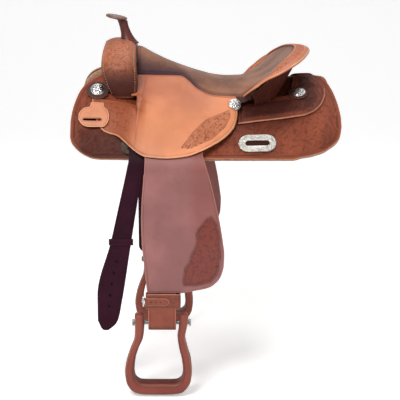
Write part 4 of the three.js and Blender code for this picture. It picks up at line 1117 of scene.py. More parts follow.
# Fender edges: by length down the slope for the top part, by height for the hanging part.
FENDER_TOP_OUT, FENDER_BEND_OUT = 158, 260.6
FENDER_SLOPE_SUM = 869.2  # out + z all down the 45 degree slope
FENDER_BEND_RADIUS, FENDER_LOW_Z = 60, 264.8
fender_top_front = curve([[0, -108], [6, -118], [16, -126], [34, -132], [80, -140],
                          [120, -147], [156, -149.3]])
fender_top_rear = curve([[0, -42], [6, -32], [16, -24], [34, -18], [80, -12], [120, -9],
                         [156, -8.3]])
fender_front = curve([[264.8, -146], [273, -147], [294, -149.3], [337, -153.3], [393, -158.3],
                      [444, -159.5], [487, -158.3], [551, -153.3], [600, -150.3]])
fender_rear = curve([
    [264.8, -58], [268, -40], [271.5, -25], [274.5, -8], [279.7, 8.5], [288, 21], [299, 31.3],
    [315, 39], [333, 43.5], [367, 45], [393, 42], [423.5, 37.5], [444, 34], [487, 25],
    [551, 10], [600, -5.3]])
# Carved panel low on the fender, as x, side height.
FENDER_PANEL = [
    (12.5, 380), (1.25, 373.75), (-8.25, 362.5), (-18.75, 350), (-25, 337.5), (-23.75, 320),
    (-26.75, 305), (-37.5, 285), (-41.25, 267.5), (-52.5, 252.5), (-56, 237.5), (-58, 220),
    (-55, 206.25), (-25, 206.25), (11.25, 215), (29.5, 236.25), (36.5, 280), (33.5, 335),
    (25, 362.5)]


def fender_field(points, margin, along, across):
    x, height = points[..., 0], side_height(points)
    panel = outline_depth(x, height, FENDER_PANEL)
    relief, dark = carve(x + 300, along, seed=41, cell=30)
    carved = smooth(1.5, 3.25, panel)
    rim_line, bead = gauss(panel, 1, 1.125), gauss(panel, -1.5, 1.25)
    border, groove = gauss(panel, 5.5, 1.25), gauss(margin, 4.2, 0.6)
    relief = (carved * (relief - 0.8) - rim_line * 0.9 + bead * 0.35 - groove * 0.45
              + 0.7 * (fractal(x, along, 90, 14) - 0.5))
    tool = carved * (0.08 + dark * 0.5) + rim_line * 0.9 + border * 0.45 + groove * 0.4
    # The carved panel and its bead are darker leather, and a rearward stretch above the panel is
    # redder; the darkening at the top is painted shadow under the seat jockey's lower edge.
    shade = (carved * 0.9 + bead * 0.4 + 0.42 * smooth(-55, -15, x) * smooth(295, 382.5, height)
             + 0.32 * smooth(490, 525, height))
    return relief, clamp(tool), clamp(shade)


def fender(side, mirror):
    """One sheet: a 45 degree slope, a bend, then straight down."""
    radius = FENDER_BEND_RADIUS
    centre_out = FENDER_BEND_OUT - radius * math.sqrt(0.5)
    centre_z = FENDER_SLOPE_SUM - FENDER_BEND_OUT - radius * math.sqrt(0.5)
    slope = (FENDER_BEND_OUT - FENDER_TOP_OUT) * math.sqrt(2)
    bend = radius * PI / 4
    total = slope + bend + (centre_z - FENDER_LOW_Z)
    low_rows = total - np.array([44, 36, 29, 23, 18, 14, 11, 8.5, 6.3, 5.2])
    s = np.unique(np.concatenate([total * spaced(total, 2.2), low_rows]))
    on_slope, on_bend = s < slope, s < slope + bend
    angle = PI / 4 + (s - slope) / radius
    out = np.where(on_slope, FENDER_TOP_OUT + s * math.sqrt(0.5),
                   centre_out + radius * np.where(on_bend, np.sin(angle), 1))
    z = np.where(on_slope, FENDER_SLOPE_SUM - FENDER_TOP_OUT - s * math.sqrt(0.5),
                 np.where(on_bend, centre_z + radius * np.cos(angle),
                          centre_z - (s - slope - bend)))
    angle = np.clip(angle, PI / 4, PI / 2)[:, None]
    bent = clamp((s - slope) / bend)
    front = np.where(on_slope, fender_top_front(s),
                     np.where(z > 566, -149.3 - bent * 1.6, fender_front(z)))
    top_end = fender_top_rear(156.0)
    rear = np.where(on_slope, fender_top_rear(s),
                    np.where(on_bend, top_end + (fender_rear(centre_z) - top_end) * bent,
                             fender_rear(z)))
    x = front[:, None] + (rear - front)[:, None] * spaced(180, 2.2)

    def skin(lift):
        return xyz(x, -(out[:, None] + lift * np.sin(angle)), z[:, None] + lift * np.cos(angle))

    bodies = ("fender_top_" + side, "fender_" + side)
    piece, top, normals = sheet("fender_panel_" + side, skin(4.5), skin(0.0), "fender",
                                fender_field, body=None, mirror=mirror, replaces=bodies,
                                wear=1.8)
    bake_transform(piece)
    stitches("fender_front_stitching_" + side,
             *inset_line(top, normals, depth=6.5, low=0.52, high=0.985),
             body=bodies[1], mirror=mirror, finish="brown_thread")


STIRRUP_OUT, BOLT_Z = 280.0, 188.0
# Stirrup leather before and after it goes round the roller: offset from STIRRUP_OUT, z.
STRAP_DOWN = [[2.85, 263], [2.85, 252], [2.85, 241], [5.2, 231], [9.5, 221]]
STRAP_UP = [[-9.5, 221], [-5.2, 231], [-2.85, 241], [-3.3, 250], [-4.65, 262], [-4.65, 290],
            [-4.65, 330]]
STRAP_HALF = 2.25  # half its thickness


def stirrup_strap(side, mirror):
    def field(points, margin, along, across):
        z = points[..., 2]
        groove = gauss(margin, 4.0, 0.6)
        # Painted shade on the strap round the lower edge of the hobble loop; the mottling is the
        # leather's own tone.
        shade = (0.5 * smooth(250, 228, z) * smooth(222, 236, z)
                 + 0.25 * smooth(0.4, 0.7, fractal(points[..., 0], along, 30, 8)))
        return -groove * 0.5, clamp(groove * 0.7), shade

    angle = np.linspace(0.25, -PI - 0.25, 60)
    radius = 14.8 + STRAP_HALF
    round_roller = np.stack([radius * np.cos(angle), BOLT_Z + radius * np.sin(angle)], -1)
    path = np.vstack([STRAP_DOWN, round_roller, STRAP_UP]) + [STIRRUP_OUT, 0]
    length = arc_length(path)
    path = interp_rows(length[-1] * spaced(length[-1], 2.4), length, path)
    for _ in range(2):
        path[2:-2] = (path[:-4] + path[1:-3] + path[2:-2] + path[3:-1] + path[4:]) / 5
    along = unit(np.gradient(path, axis=0))
    normal = np.stack([-along[:, 1], along[:, 0]], -1)
    if ((path - [STIRRUP_OUT, BOLT_Z]) * normal)[20:40].sum() < 0:
        normal = -normal
    x = span(-143.5, -75, 2.6)

    def grid(lift):
        shifted = path + lift * normal
        return xyz(x, -shifted[:, :1], shifted[:, 1:])

    sheet("stirrup_strap_" + side, grid(STRAP_HALF), grid(-STRAP_HALF), "strap", field,
          body="fender_" + side, mirror=mirror, replaces=("stirrup_leather_" + side,), wear=1.6)


HOBBLE_HALF_X, HOBBLE_HALF_OUT, HOBBLE_CORNER = 43.5, 11.8, 6.0
HOBBLE_X, HOBBLE_Z = -106.5, 245


def upright_band(loop, z):
    """A grid that carries an x, y loop up through the heights z."""
    return xyz(loop[:, :1], loop[:, 1:], z)


def punched(points, centres, edge, floor):
    """Round holes at x, z centres, from the radius of their edge in to that of their floor."""
    return sum(smooth(edge, floor, np.hypot(points[..., 0] - x, points[..., 2] - z))
               for x, z in centres)


def hobble_loop(side, mirror):
    """A closed loop round both plies of the stirrup leather."""
    def field(points, margin, along, across):
        relief, dark = carve(points[..., 0] + 300, points[..., 2], seed=51, cell=21)
        carved, groove = smooth(4.2, 5.5, margin), gauss(margin, 3.2, 0.6)
        return (carved * (relief * 0.8 - 0.5) - groove * 0.6,
                clamp(carved * dark * 0.6 + groove * 0.7), 0.3)

    def loop(lift):
        corner = max(0.6, HOBBLE_CORNER + lift)
        centre = (np.array([HOBBLE_HALF_X, HOBBLE_HALF_OUT]) + lift) - corner
        points = []
        for quarter, signs in enumerate(((1, 1), (-1, 1), (-1, -1), (1, -1))):
            angle = np.linspace(quarter * PI / 2, (quarter + 1) * PI / 2, 12)
            arc = np.stack([np.cos(angle), np.sin(angle)], -1)
            points.append(centre * signs + corner * arc)
        points = np.vstack(points + [points[0][:1]])
        length = arc_length(points)
        even = np.linspace(0, length[-1], 150, endpoint=False)
        return interp_rows(even, length, points) + [HOBBLE_X, -STIRRUP_OUT]

    z = span(226, 264.2, 2.0)
    sheet("hobble_loop_" + side, upright_band(loop(0.0), z), upright_band(loop(-2.6), z),
          "strap", field, body="fender_" + side, mirror=mirror, radius=1.1,
          replaces=("hobble_strap_" + side,), closed=True, wear=1.2)


def hobble_tab(side, mirror):
    """The end that comes out of the buckle and lies over the outside of the loop."""
    def field(points, margin, along, across):
        # The punched holes are darkened with painted shade.
        holes = punched(points, [(x, HOBBLE_Z) for x in (-136, -124, -112)], 2.3, 1.5)
        groove = gauss(margin, 2.6, 0.5)
        return -holes * 1.2 - groove * 0.4, clamp(holes + groove * 0.6), 0.1

    x = span(-151.5, -91.5, 1.8)[:, None]
    half = curve([[-151.5, 9.8], [-104, 9.8], [-97, 7.6], [-93, 4.4], [-91.5, 1.2]])(x)
    rise = curve([[-151.5, -5.5], [-149.5, -2.4], [-147, -0.6], [-143, 0.25],
                  [-91.5, 0.25]])(x)
    z = HOBBLE_Z + half * (2 * spaced(20, 1.8, THIN_EDGE[:4]) - 1)
    outer, back = (xyz(x, -(STIRRUP_OUT + HOBBLE_HALF_OUT + rise + lift), z)
                   for lift in (2.2, 0.0))
    sheet("hobble_tab_" + side, outer, back, "strap", field, body="fender_" + side,
          mirror=mirror, radius=0.9, wear=1.1)


# Round the stirrup from its front top: outer x, outer z, inner x, inner z, width.
STIRRUP = np.array([
    [-177, 212, -155, 212, 30], [-177.5, 208, -153.5, 208, 34], [-177.5, 195, -153.5, 195, 34],
    [-177.5, 178, -154, 178, 34], [-179, 150, -156.5, 153, 35], [-189.5, 119, -168, 124, 37],
    [-199, 90, -176.5, 94, 40], [-203.8, 60, -179.5, 64, 43], [-200.8, 34, -177, 47, 46],
    [-191, 15, -170, 38, 48], [-176, 4.5, -162, 34, 50], [-152, 0.6, -148, 33, 50],
    [-118, 0, -118, 33, 50], [-86, 0.6, -90, 33, 50], [-62, 4.5, -75, 34, 50],
    [-48, 16, -67, 38, 48], [-38, 35, -60, 48, 46], [-35.3, 60, -58, 64, 43],
    [-37.5, 90, -61, 94, 40], [-46, 123, -68, 126, 37], [-51.5, 152, -71.5, 154, 35],
    [-47, 179, -68, 178, 34], [-44, 196, -66.5, 196, 34], [-45, 208, -66, 208, 34],
    [-46, 212, -64, 212, 30]], float)


def stirrup(side, mirror):
    length = arc_length((STIRRUP[:, :2] + STIRRUP[:, 2:4]) / 2)
    t = np.linspace(0, length[-1], 230)[:, None]
    outer_x, outer_z, inner_x, inner_z, width = [
        f(t) for f in curves(np.column_stack([length, STIRRUP]))]
    angle = turn(44)
    inward = signed_power(np.cos(angle), 0.62)
    sideways = signed_power(np.sin(angle), 0.62)
    end = clamp(np.minimum(t, length[-1] - t) / 3.5)
    end = 0.55 + 0.45 * np.sqrt(1 - (1 - end) ** 2)
    rings = xyz((outer_x + inner_x) / 2 + (inner_x - outer_x) / 2 * inward * end,
                -STIRRUP_OUT + sideways * width / 2 * end,
                (outer_z + inner_z) / 2 + (inner_z - outer_z) / 2 * inward * end)
    normals = ring_normals(rings)
    lumps = 0.5 * (fractal(t, np.arange(44) * 3.0, 24, 61) - 0.5)
    groove = gauss(np.abs(sideways), 0.80, 0.05) * (inward < -0.6)
    rings = rings + normals * (lumps - groove * 0.7)[..., None]
    corners = gauss(np.abs(inward), 0.86, 0.12) * gauss(np.abs(sideways), 0.86, 0.14)
    body = "stirrup_" + side
    # The shade attribute is painted shade on the stirrup's inner face.
    loft("stirrup_frame_" + side, rings, "stirrup", body, mirror, (body,),
         shade=smooth(0.2, 0.9, inward) * 0.9, edge=clamp(corners * 0.9), tool=groove * 0.8)
    for sign, tag in ((1, "a"), (-1, "b")):
        k = int(np.argmin(np.abs(sideways - 0.80 * sign) + 10 * (inward > -0.6)))
        stitches("stirrup_stitching_%s_%s" % (tag, side), rings[4:-4, k], normals[4:-4, k],
                 body, mirror, length=4.0, gap=2.4, radius=0.5, sink=-0.05)


# ------------------------------------------------------------------ rosettes and conchos
DISC_ANGLES = turn(120)


def disc(name, frame, radius, profile, lift, finish, rings, mirror, replaces):
    """A worked disc on a frame from frame_at, its rim shaped by radius."""
    place, along, across, up = frame
    share = np.linspace(0.02, 1, rings)[:, None] ** 0.8
    height, tool, edge = profile(share, DISC_ANGLES)
    radius = share * radius
    # Two last rings turn in under the rim to close the back.
    radius = np.vstack([radius, radius[-1] * 0.985, radius[-1] * 0.5])[..., None]
    height = lift + np.vstack([height, 0 * height[-2:]])[..., None]
    spokes = np.cos(DISC_ANGLES)[:, None] * along + np.sin(DISC_ANGLES)[:, None] * across
    tool, edge = (np.vstack([a, a[-1:], a[-1:]]) for a in (tool, edge))
    loft(name, place + radius * spokes + height * up, finish, mirror=mirror,
         replaces=replaces, tool=tool, edge=edge)


def scalloped(diameter):
    return diameter / 2 * (0.965 + 0.035 * np.cos(12 * DISC_ANGLES))


def rosette_profile(share, angle):
    fall = np.where(share > 0.93, ((share - 0.93) / 0.07) ** 2 * 1.5, 0)
    ring = gauss(share, 0.86, 0.025)
    rays = 0.5 - 0.5 * np.cos(24 * angle)
    rays = rays * smooth(0.66, 0.72, share) * smooth(0.84, 0.8, share)
    return (2.2 - fall - ring * 0.6 - 0.35 * rays, clamp(ring * 0.8 + rays * 0.6),
            smooth(0.95, 1.0, share))


def concho_profile(share, angle):
    """A dome cut into ten petals, with a roped rim."""
    dome = np.interp(share, [0, 0.35, 0.62, 0.8, 0.82, 0.96, 1.0],
                     [5.9, 5.5, 4.7, 3.1, 2.5, 2.1, 0.6])
    window = smooth(0.24, 0.34, share) * smooth(0.78, 0.7, share)
    gaps = window * (1 - np.abs(np.cos(5 * angle)) ** 0.6)
    rope = smooth(0.83, 0.86, share) * smooth(0.97, 0.93, share)
    rope = rope * (0.5 - 0.5 * np.cos(36 * angle + 14 * share))
    ring = gauss(share, 0.24, 0.03)
    ripple = window * 0.25 * np.cos(20 * angle) * smooth(0.5, 0.65, share)
    tool = gaps * 1.1 + rope * 0.55 + ring * 0.8 + gauss(share, 0.81, 0.02) * 0.8
    return dome - gaps * 0.8 - rope * 0.35 - ring * 0.6 + ripple, clamp(tool), 0 * share


def seat_concho_frame():
    x, share = 71.0, 0.3
    along = unit(jockey_point(x + 1, share) - jockey_point(x - 1, share))
    down = unit(jockey_point(x, share + 0.02) - jockey_point(x, share - 0.02))
    up = unit(np.cross(down, along))
    up = up if up[2] > 0 else -up
    across = unit(np.cross(up, along))
    return jockey_point(x, share), unit(np.cross(across, up)), across, up


def rosettes(side, mirror):
    places = (("front", frame_at(-271, 0.436, JOCKEY_HIGH), 58),
              ("rear", frame_at(233, 0.34, JOCKEY_HIGH), 50))
    for end, frame, diameter in places:
        disc("%s_rosette_leather_%s" % (end, side), frame, scalloped(diameter),
             rosette_profile, 1.4, "rosette", 26, mirror, ("%s_rosette_%s" % (end, side),))
    for end, frame, radius, lift in (
            *((end, frame, 18, 4.0) for end, frame, _ in places),
            ("seat", seat_concho_frame(), 16, 1.9)):
        disc("%s_concho_silver_%s" % (end, side), frame, radius, concho_profile, lift,
             "silver", 40, mirror, ("%s_concho_%s" % (end, side),))


for side, mirror in (("near", 1), ("off", -1)):
    for build in (skirt, fleece, seat_jockey, swell_tuck, rear_jockey, fender, stirrup_strap,
                  hobble_loop, hobble_tab, stirrup, rosettes):
        build(side, mirror)

# ------------------------------------------------------------------ straps from the front plates
HANG_X, HANG_LIFT, HANG_RADIUS = -168.0, SKIRT_HIGH + 2.8 + 5.4, 40
HANG_LEAN, LEAN_FROM_Z = 0.066, 570  # below this height the straps lean in


def hang_start():
    """Out, z and angle where the straps follow the skirt and bend to hang; out where they hang."""
    rows = [base(HANG_X, share, HANG_LIFT) for share in (0.915, 0.955, 1.0)]
    out, z, last = rows[2]
    centre_out = out - HANG_RADIUS * math.sin(last)
    centre_z = z - HANG_RADIUS * math.cos(last)
    for part in (0.35, 0.7, 1.0):
        angle = last + (PI / 2 - last) * part
        rows.append([centre_out + HANG_RADIUS * math.sin(angle),
                     centre_z + HANG_RADIUS * math.cos(angle), angle])
    return np.array(rows, float), centre_out + HANG_RADIUS


def hang_grid(low_z, left, right):
    """A hanging strap down to low_z between two edge curves, as a function of its lift."""
    rows, out = hang_start()
    step, first_z = 2.4, rows[-1][1]
    count = int((first_z - low_z) / step)
    z = np.concatenate([np.linspace(first_z - step, low_z + NEAR_EDGE[-1], count),
                        low_z + np.array(NEAR_EDGE[-2::-1])])
    tail = xyz(out - np.maximum(0, LEAN_FROM_Z - z) * HANG_LEAN, z, PI / 2 + HANG_LEAN)
    rows = np.vstack([rows, tail])
    # The first five gaps are split into five.
    places = np.concatenate([np.arange(25) / 5, np.arange(5, len(rows))])
    out, z, angle = interp_rows(places, np.arange(len(rows)), rows).T[..., None]
    x = left(z) + (right(z) - left(z)) * spaced(50, 2.2, THIN_EDGE)
    return lambda lift: xyz(x, -(out + lift * np.sin(angle)), z + lift * np.cos(angle))


def strap_field(hole_heights, centre_x):
    def field(points, margin, along, across):
        x, z = points[..., 0], points[..., 2]
        # The punched holes are darkened with painted shade.
        holes = punched(points, [(centre_x(height), height) for height in hole_heights], 4.2, 3.0)
        groove = gauss(margin, 4.0, 0.7)
        return (-holes * 1.6 - groove * 0.45 + 0.8 * (fractal(x, z, 40, 17) - 0.5),
                clamp(holes + groove * 0.7), 0.5 * smooth(0.4, 0.7, fractal(x, z, 60, 5)))
    return field


# Front and rear edges of the latigo: z, x.
latigo_front = curve([[150, -259], [156, -265], [166, -269], [179, -273.5], [244, -273],
                      [388, -236.3], [483, -214.5], [581, -192.5], [597, -189.5], [640, -189.5]])
latigo_rear = curve([[150, -248], [156, -240], [166, -229], [179, -222], [226, -212],
                     [388, -185.5], [483, -170], [581, -153.5], [597, -150], [640, -147]])


def latigo_middle(z):
    return (latigo_front(z) + latigo_rear(z)) / 2


def latigo():
    long_ply = hang_grid(150.0, latigo_front, latigo_rear)
    sheet("latigo_long_ply", long_ply(-0.25), long_ply(-2.8), "latigo",
          strap_field(range(215, 336, 30), latigo_middle), body="latigo",
          replaces=("latigo",), wear=1.2)

    def narrowing(z):
        return 0.8 + 16 * smooth(500, 486, z) ** 2

    short_ply = hang_grid(486.0, lambda z: latigo_front(z) + narrowing(z),
                          lambda z: latigo_rear(z) - narrowing(z))
    sheet("latigo_short_ply", short_ply(2.8), short_ply(0.2), "latigo",
          strap_field([], latigo_middle), body="latigo", wear=1.2)


def latigo_band():
    """The band round the hanging strap."""
    band_z, angle = 386.0, np.linspace(0, 2 * PI, 120, endpoint=False)
    out = hang_start()[1] - (LEAN_FROM_Z - band_z) * HANG_LEAN
    half = (latigo_rear(band_z) - latigo_front(band_z)) / 2 + 1.5 + 1.6

    def loop(lift):
        return np.stack([
            latigo_middle(band_z) + (half + lift) * signed_power(np.cos(angle), 0.35),
            -out + 1.4 + (2.6 + lift) * signed_power(np.sin(angle), 0.5)], -1)

    z = span(379, 394, 1.6, THIN_EDGE[:4])
    sheet("latigo_band", upright_band(loop(1.7), z), upright_band(loop(0.0), z), "latigo",
          body="latigo", radius=0.8, closed=True, wear=1.0)


def off_billet():
    front = curve([[222, -176], [228, -185], [240, -189.5], [640, -190.5]])
    rear = curve([[222, -160], [228, -151], [240, -146.5], [640, -145.5]])
    ply = hang_grid(222.0, front, rear)
    sheet("off_billet_ply", ply(2.5), ply(-2.5), "latigo",
          strap_field(range(262, 383, 30), lambda z: (front(z) + rear(z)) / 2),
          body="off_billet", mirror=-1, replaces=("off_billet",), wear=1.2)


# Latigo keeper: x, share at its top, share at its bottom.
keeper_edges = curves([
    [-315, 0.655, 0.697], [-311, 0.632, 0.72], [-302.5, 0.604, 0.747], [-292, 0.595, 0.757],
    [-287, 0.59, 0.758], [-285.5, 0.556, 0.758], [-270, 0.556, 0.758], [-254.5, 0.556, 0.758],
    [-253, 0.59, 0.757], [-245, 0.614, 0.733], [-240, 0.652, 0.695]])


def slot_cutter(half_width, half_depth):
    """A round-ended bar through the keeper."""
    place, along, across, up = frame_at(KEEPER_X, KEEPER_SHARE, 27)
    count = 48
    angle = np.linspace(0, 2 * PI, count, endpoint=False)
    reach = np.sign(np.cos(angle)) * KEEPER_HALF + half_width * np.cos(angle)
    ring = place + reach[:, None] * along + (half_width * np.sin(angle))[:, None] * across
    points = np.vstack([ring - half_depth * up, ring + half_depth * up]) * 0.001
    faces = [(i, (i + 1) % count, count + (i + 1) % count, count + i) for i in range(count)]
    faces += [tuple(range(count, 2 * count)), tuple(reversed(range(count)))]
    mesh = bpy.data.meshes.new("slot_cut")
    mesh.from_pydata(points.tolist(), [], faces)
    mesh.update()
    cutter = bpy.data.objects.new("slot_cutter", mesh)
    link(cutter)
    return cutter


def latigo_keeper():
    # Extra columns where the outline steps and at the slot's ends.
    extra = [-286.3, -285.9, -285.4, -254.8, -254.3, -253.6, -304, -258]
    x = np.unique(np.concatenate([span(-315, -240, 1.5), extra]))
    x, share = panel_grid(x, spaced(70, 1.2), *keeper_edges)
    _, first, last, radius = section(KEEPER_X)
    beside = (share - KEEPER_SHARE) * radius * (last - first)
    to_slot = np.hypot(np.maximum(np.abs(x - KEEPER_X) - KEEPER_HALF, 0), beside)

    def field(points, margin, along, across):
        groove, slot_rim = gauss(margin, 3.4, 0.6), gauss(to_slot, 5.4, 0.8)
        # The slot's walls are darkened with painted shadow.
        tool = groove * 0.6 + slot_rim * 0.5 + smooth(3.9, 3.3, to_slot)
        shade = 0.2 * smooth(0.4, 0.7, fractal(points[..., 0], across, 30, 3))
        return -groove * 0.5 - slot_rim * 0.5, clamp(tool), shade

    piece, _, _ = sheet("latigo_keeper_leather", on_base(x, share, 28.6),
                        on_base(x, share, 25.4), "keeper", field, radius=1.4,
                        replaces=("latigo_keeper",), wear=1.6)
    cutter = slot_cutter(half_width=3.5, half_depth=9)
    cut = piece.modifiers.new("slot", "BOOLEAN")
    cut.operation = "DIFFERENCE"
    cut.object = cutter
    cut.solver = "EXACT"
    bpy.context.view_layer.update()
    graph = bpy.context.evaluated_depsgraph_get()
    mesh = bpy.data.meshes.new_from_object(piece.evaluated_get(graph))
    piece.modifiers.clear()
    piece.data = mesh
    bpy.data.objects.remove(cutter)


latigo()
latigo_band()
off_billet()
latigo_keeper()


# ------------------------------------------------------------------ swell and horn
# Rings that close the swell's ends: share drawn in to the centre, push outward.
SWELL_END = ((0.035, 0.7), (0.09, 1.2), (0.2, 1.5), (0.6, 1.6))
WELT_ANGLE, SEAM_ANGLE = 0.42, 0.60  # up from the rear, and likewise from the front


def swell():
    station = 7 * signed_power(np.linspace(-1, 1, 221), 0.9)[:, None]
    angle = turn(112)
    rings = swell_ring(station, angle, 0.0)
    rings[110] = (rings[109] + rings[111]) / 2
    normals = ring_normals(rings)
    along, around = arc_length(rings, 0), arc_length(rings, 1)
    from_middle, upward = np.abs(station), np.sin(angle)
    outer = smooth(-0.1, 0.4, upward)
    relief, dark = carve(along + 50, rings[..., 0] + 400, seed=71, cell=33)
    rear_welt = gauss(angle, WELT_ANGLE, 0.035)
    welts = rear_welt + gauss(angle, PI - WELT_ANGLE, 0.035)
    seams = gauss(angle, SEAM_ANGLE, 0.03) + gauss(angle, PI - SEAM_ANGLE, 0.03)
    carved = (outer * smooth(0.66, 0.76, angle) * smooth(PI - 0.66, PI - 0.76, angle)
              * smooth(6.9, 6.5, from_middle))
    relief = (carved * (relief - 0.8) + welts * 1.5 * smooth(7, 6.6, from_middle)
              - seams * 0.6 + 0.6 * (fractal(along, around, 50, 12) - 0.5))
    # The cover stays smooth round the foot of the horn.
    near_horn = smooth(26, 18, np.hypot(rings[..., 0] + 201, rings[..., 1])) * outer
    surface = rings + normals * (relief * (1 - near_horn))[..., None]
    tool = clamp(carved * dark * 0.6 + seams * 0.7)
    # Painted shade: darker towards the bottom of the swell and on its underside.
    shade = smooth(842, 768, rings[..., 2]) * 0.95 + 0.5 * smooth(0.1, -0.4, upward)
    edge = clamp(rear_welt * 0.35 + smooth(6.75, 7.0, from_middle) * 0.4)

    def end_rings(last, previous):
        outward, centre = unit((last - previous).mean(0)), last.mean(0)
        return [last + (centre - last) * draw + outward * push for draw, push in SWELL_END]

    closed = np.array(end_rings(surface[0], surface[1])[::-1] + list(surface)
                      + end_rings(surface[-1], surface[-2]))
    tool, shade, edge = (np.pad(a, ((4, 4), (0, 0)), "edge") for a in (tool, clamp(shade), edge))
    loft("swell_leather_cover", closed, "swell", replaces=("swell_cover",), tool=tool,
         shade=shade, edge=edge)
    station = np.linspace(-6.6, 6.6, 400)
    station = station[np.abs(station) > 0.05]
    for seam, tag in ((SEAM_ANGLE, "rear"), (PI - SEAM_ANGLE, "front")):
        line = swell_ring(station, seam, 0.0)
        stitches("swell_stitching_" + tag, line, unit(swell_ring(station, seam, -2.0) - line),
                 gap=2.4, radius=0.5, sink=0.25)


HORN_LOW, HORN_HIGH = 850.5, 908
HORN_TILT = math.radians(10.7)


def horn():
    angle = turn(56)
    z = HORN_LOW + (HORN_HIGH - HORN_LOW) * np.linspace(0, 1, 70)[:, None]
    radius = curve([[850.5, 25.5], [854, 22.6], [859, 19.6], [865, 16.8], [872, 14.4],
                    [880, 12.8], [895, 11.8], [908, 13.6]])(z)
    # A cord wound at a 5.4 mm pitch.
    wrap = np.abs(np.sin(PI * ((z - 862) / 5.4 + angle / (2 * PI))))
    radius = radius - 0.4 + 0.7 * wrap ** 0.45
    x = -199.5 - (z - 858.5) * 0.305 + radius * np.cos(angle)
    # The top rings tip to meet the cap.
    cap_z = 910 - 0.6 - (x + 213.7) * math.tan(HORN_TILT)
    tipped = z + (cap_z - HORN_HIGH) * smooth(0.55, 1.0, (z - HORN_LOW) / (HORN_HIGH - HORN_LOW))
    # The grooves between the turns of the cord are darkened with painted shade.
    loft("horn_wrapping", xyz(x, radius * np.sin(angle), tipped), "horn",
         replaces=("horn_wrap",), tool=clamp(1 - wrap * 2.6), edge=0.25 * smooth(0.85, 1.0, wrap))


# Horn cap from the middle of its underside: radius, height, tool, edge, shade; the shade of 0.9 on
# the underside is painted shade.
HORN_CAP = np.array([
    (0.4, -4.0, 0, 0, 0.9), (14, -4.0, 0, 0, 0.9), (23.5, -3.9, 0, 0, 0.9),
    (26, -3.1, 0, 0.2, 0.9), (27.5, -1.8, 0, 0.5, 0.2), (28, -0.2, 0, 0.7, 0.2),
    (27.9, 0.6, 0, 0.7, 0.2), (27.2, 2.0, 0, 0.5, 0.2), (25.8, 3.1, 0, 0.3, 0.2),
    (24.6, 3.6, 0, 0.1, 0.2), (24.0, 3.15, 0.9, 0, 0.2), (23.4, 3.7, 0, 0, 0.2),
    (20, 4.0, 0, 0, 0.2), (14, 4.25, 0, 0, 0.2), (7, 4.45, 0, 0, 0.2), (0.4, 4.5, 0, 0, 0.2)])


def horn_cap():
    up = np.array([math.sin(HORN_TILT), 0, math.cos(HORN_TILT)])

    def circle(radius, height, angle):
        angle = angle[:, None]
        level = np.array([math.cos(HORN_TILT), 0, -math.sin(HORN_TILT)])
        spokes = np.cos(angle) * level + np.sin(angle) * np.array([0, 1.0, 0])
        return np.array([-229, 0, 917.0]) + radius * spokes + height * up

    rings = np.array([circle(row[0], row[1], turn(96)) for row in HORN_CAP])
    tool, edge, shade = HORN_CAP.T[2:, :, None]
    loft("horn_cap_leather_disc", rings, "cap", replaces=("horn_cap",), tool=tool, edge=edge,
         shade=shade)
    stitches("horn_cap_stitching", circle(21.6, 3.85, np.linspace(0, 2 * PI, 200)),
             np.repeat(up[None], 200, 0), length=3.4, gap=1.8, radius=0.45)


# ------------------------------------------------------------------ seat
def seat_field(points, margin, along, across):
    """A padded seat: a pillow inside a seam, with wrinkles where it turns up to the cantle."""
    x, y = points[..., 0], points[..., 1]
    pillow = 3.4 * (1 - np.exp(-(margin / 16) ** 1.5)) - 0.4
    seam = gauss(margin, 7.5, 1.0)
    wrinkles = 0
    for k, (middle_y, depth) in enumerate(((-70, 1), (-45, 0.8), (40, 0.9), (66, 1))):
        off = x - (95 + 10 * np.sin(y / 23 + k)) - 0.25 * np.abs(y - middle_y)
        wrinkles = wrinkles + depth * gauss(off, 0, 3.2) * gauss(y, middle_y, 26)
    relief = (pillow - seam * 1.3 - wrinkles * 0.9 + 1.0 * (fractal(x, y, 42, 3) - 0.5)
              + 0.4 * (fractal(x, y, 12, 8) - 0.5))
    # Painted shade on the seat's flanks towards the front and along its edges where it turns down.
    flank_shade = smooth(0.35, 1.0, np.abs(y) / (seat_half(x) + 1)) * smooth(10, -60, x)
    return relief, clamp(seam * 0.55), clamp(0.95 * flank_shade + 0.5 * smooth(12, 0, margin))


def seat():
    x = np.linspace(-175.2, SEAT_REAR, 107)
    x = np.unique(np.concatenate([x, [-174.8, -174.2, -173.4, -172.4]]))[:, None]
    rise = np.linspace(0, 1, 62)[1:]
    rise = np.unique(np.concatenate([rise, [0.988, 0.994, 0.998]]))[:, None]
    edge = np.array([0, 0.4, 1.0, 1.8, 2.8]) / 100
    across = np.unique(np.concatenate([np.linspace(-1, 1, 121), -1 + edge, 1 - edge]))
    grid = np.concatenate([seat_point(x, across, 1.2), dish_point(rise, across, 1.2)])
    _, top, normals = sheet("seat_suede_cover", grid, grid - [0, 0, 3.1], "suede", seat_field,
                            radius=2.4, replaces=("seat_cover",), wear=0.01)
    for tag, order in (("near", 1), ("off", -1)):
        line = inset_line(top[:, ::order], normals[:, ::order], depth=9.6, low=0.02, high=0.9)
        stitches("seat_stitching_" + tag, *line, gap=2.6, radius=0.5, finish="brown_thread",
                 sink=0.0)


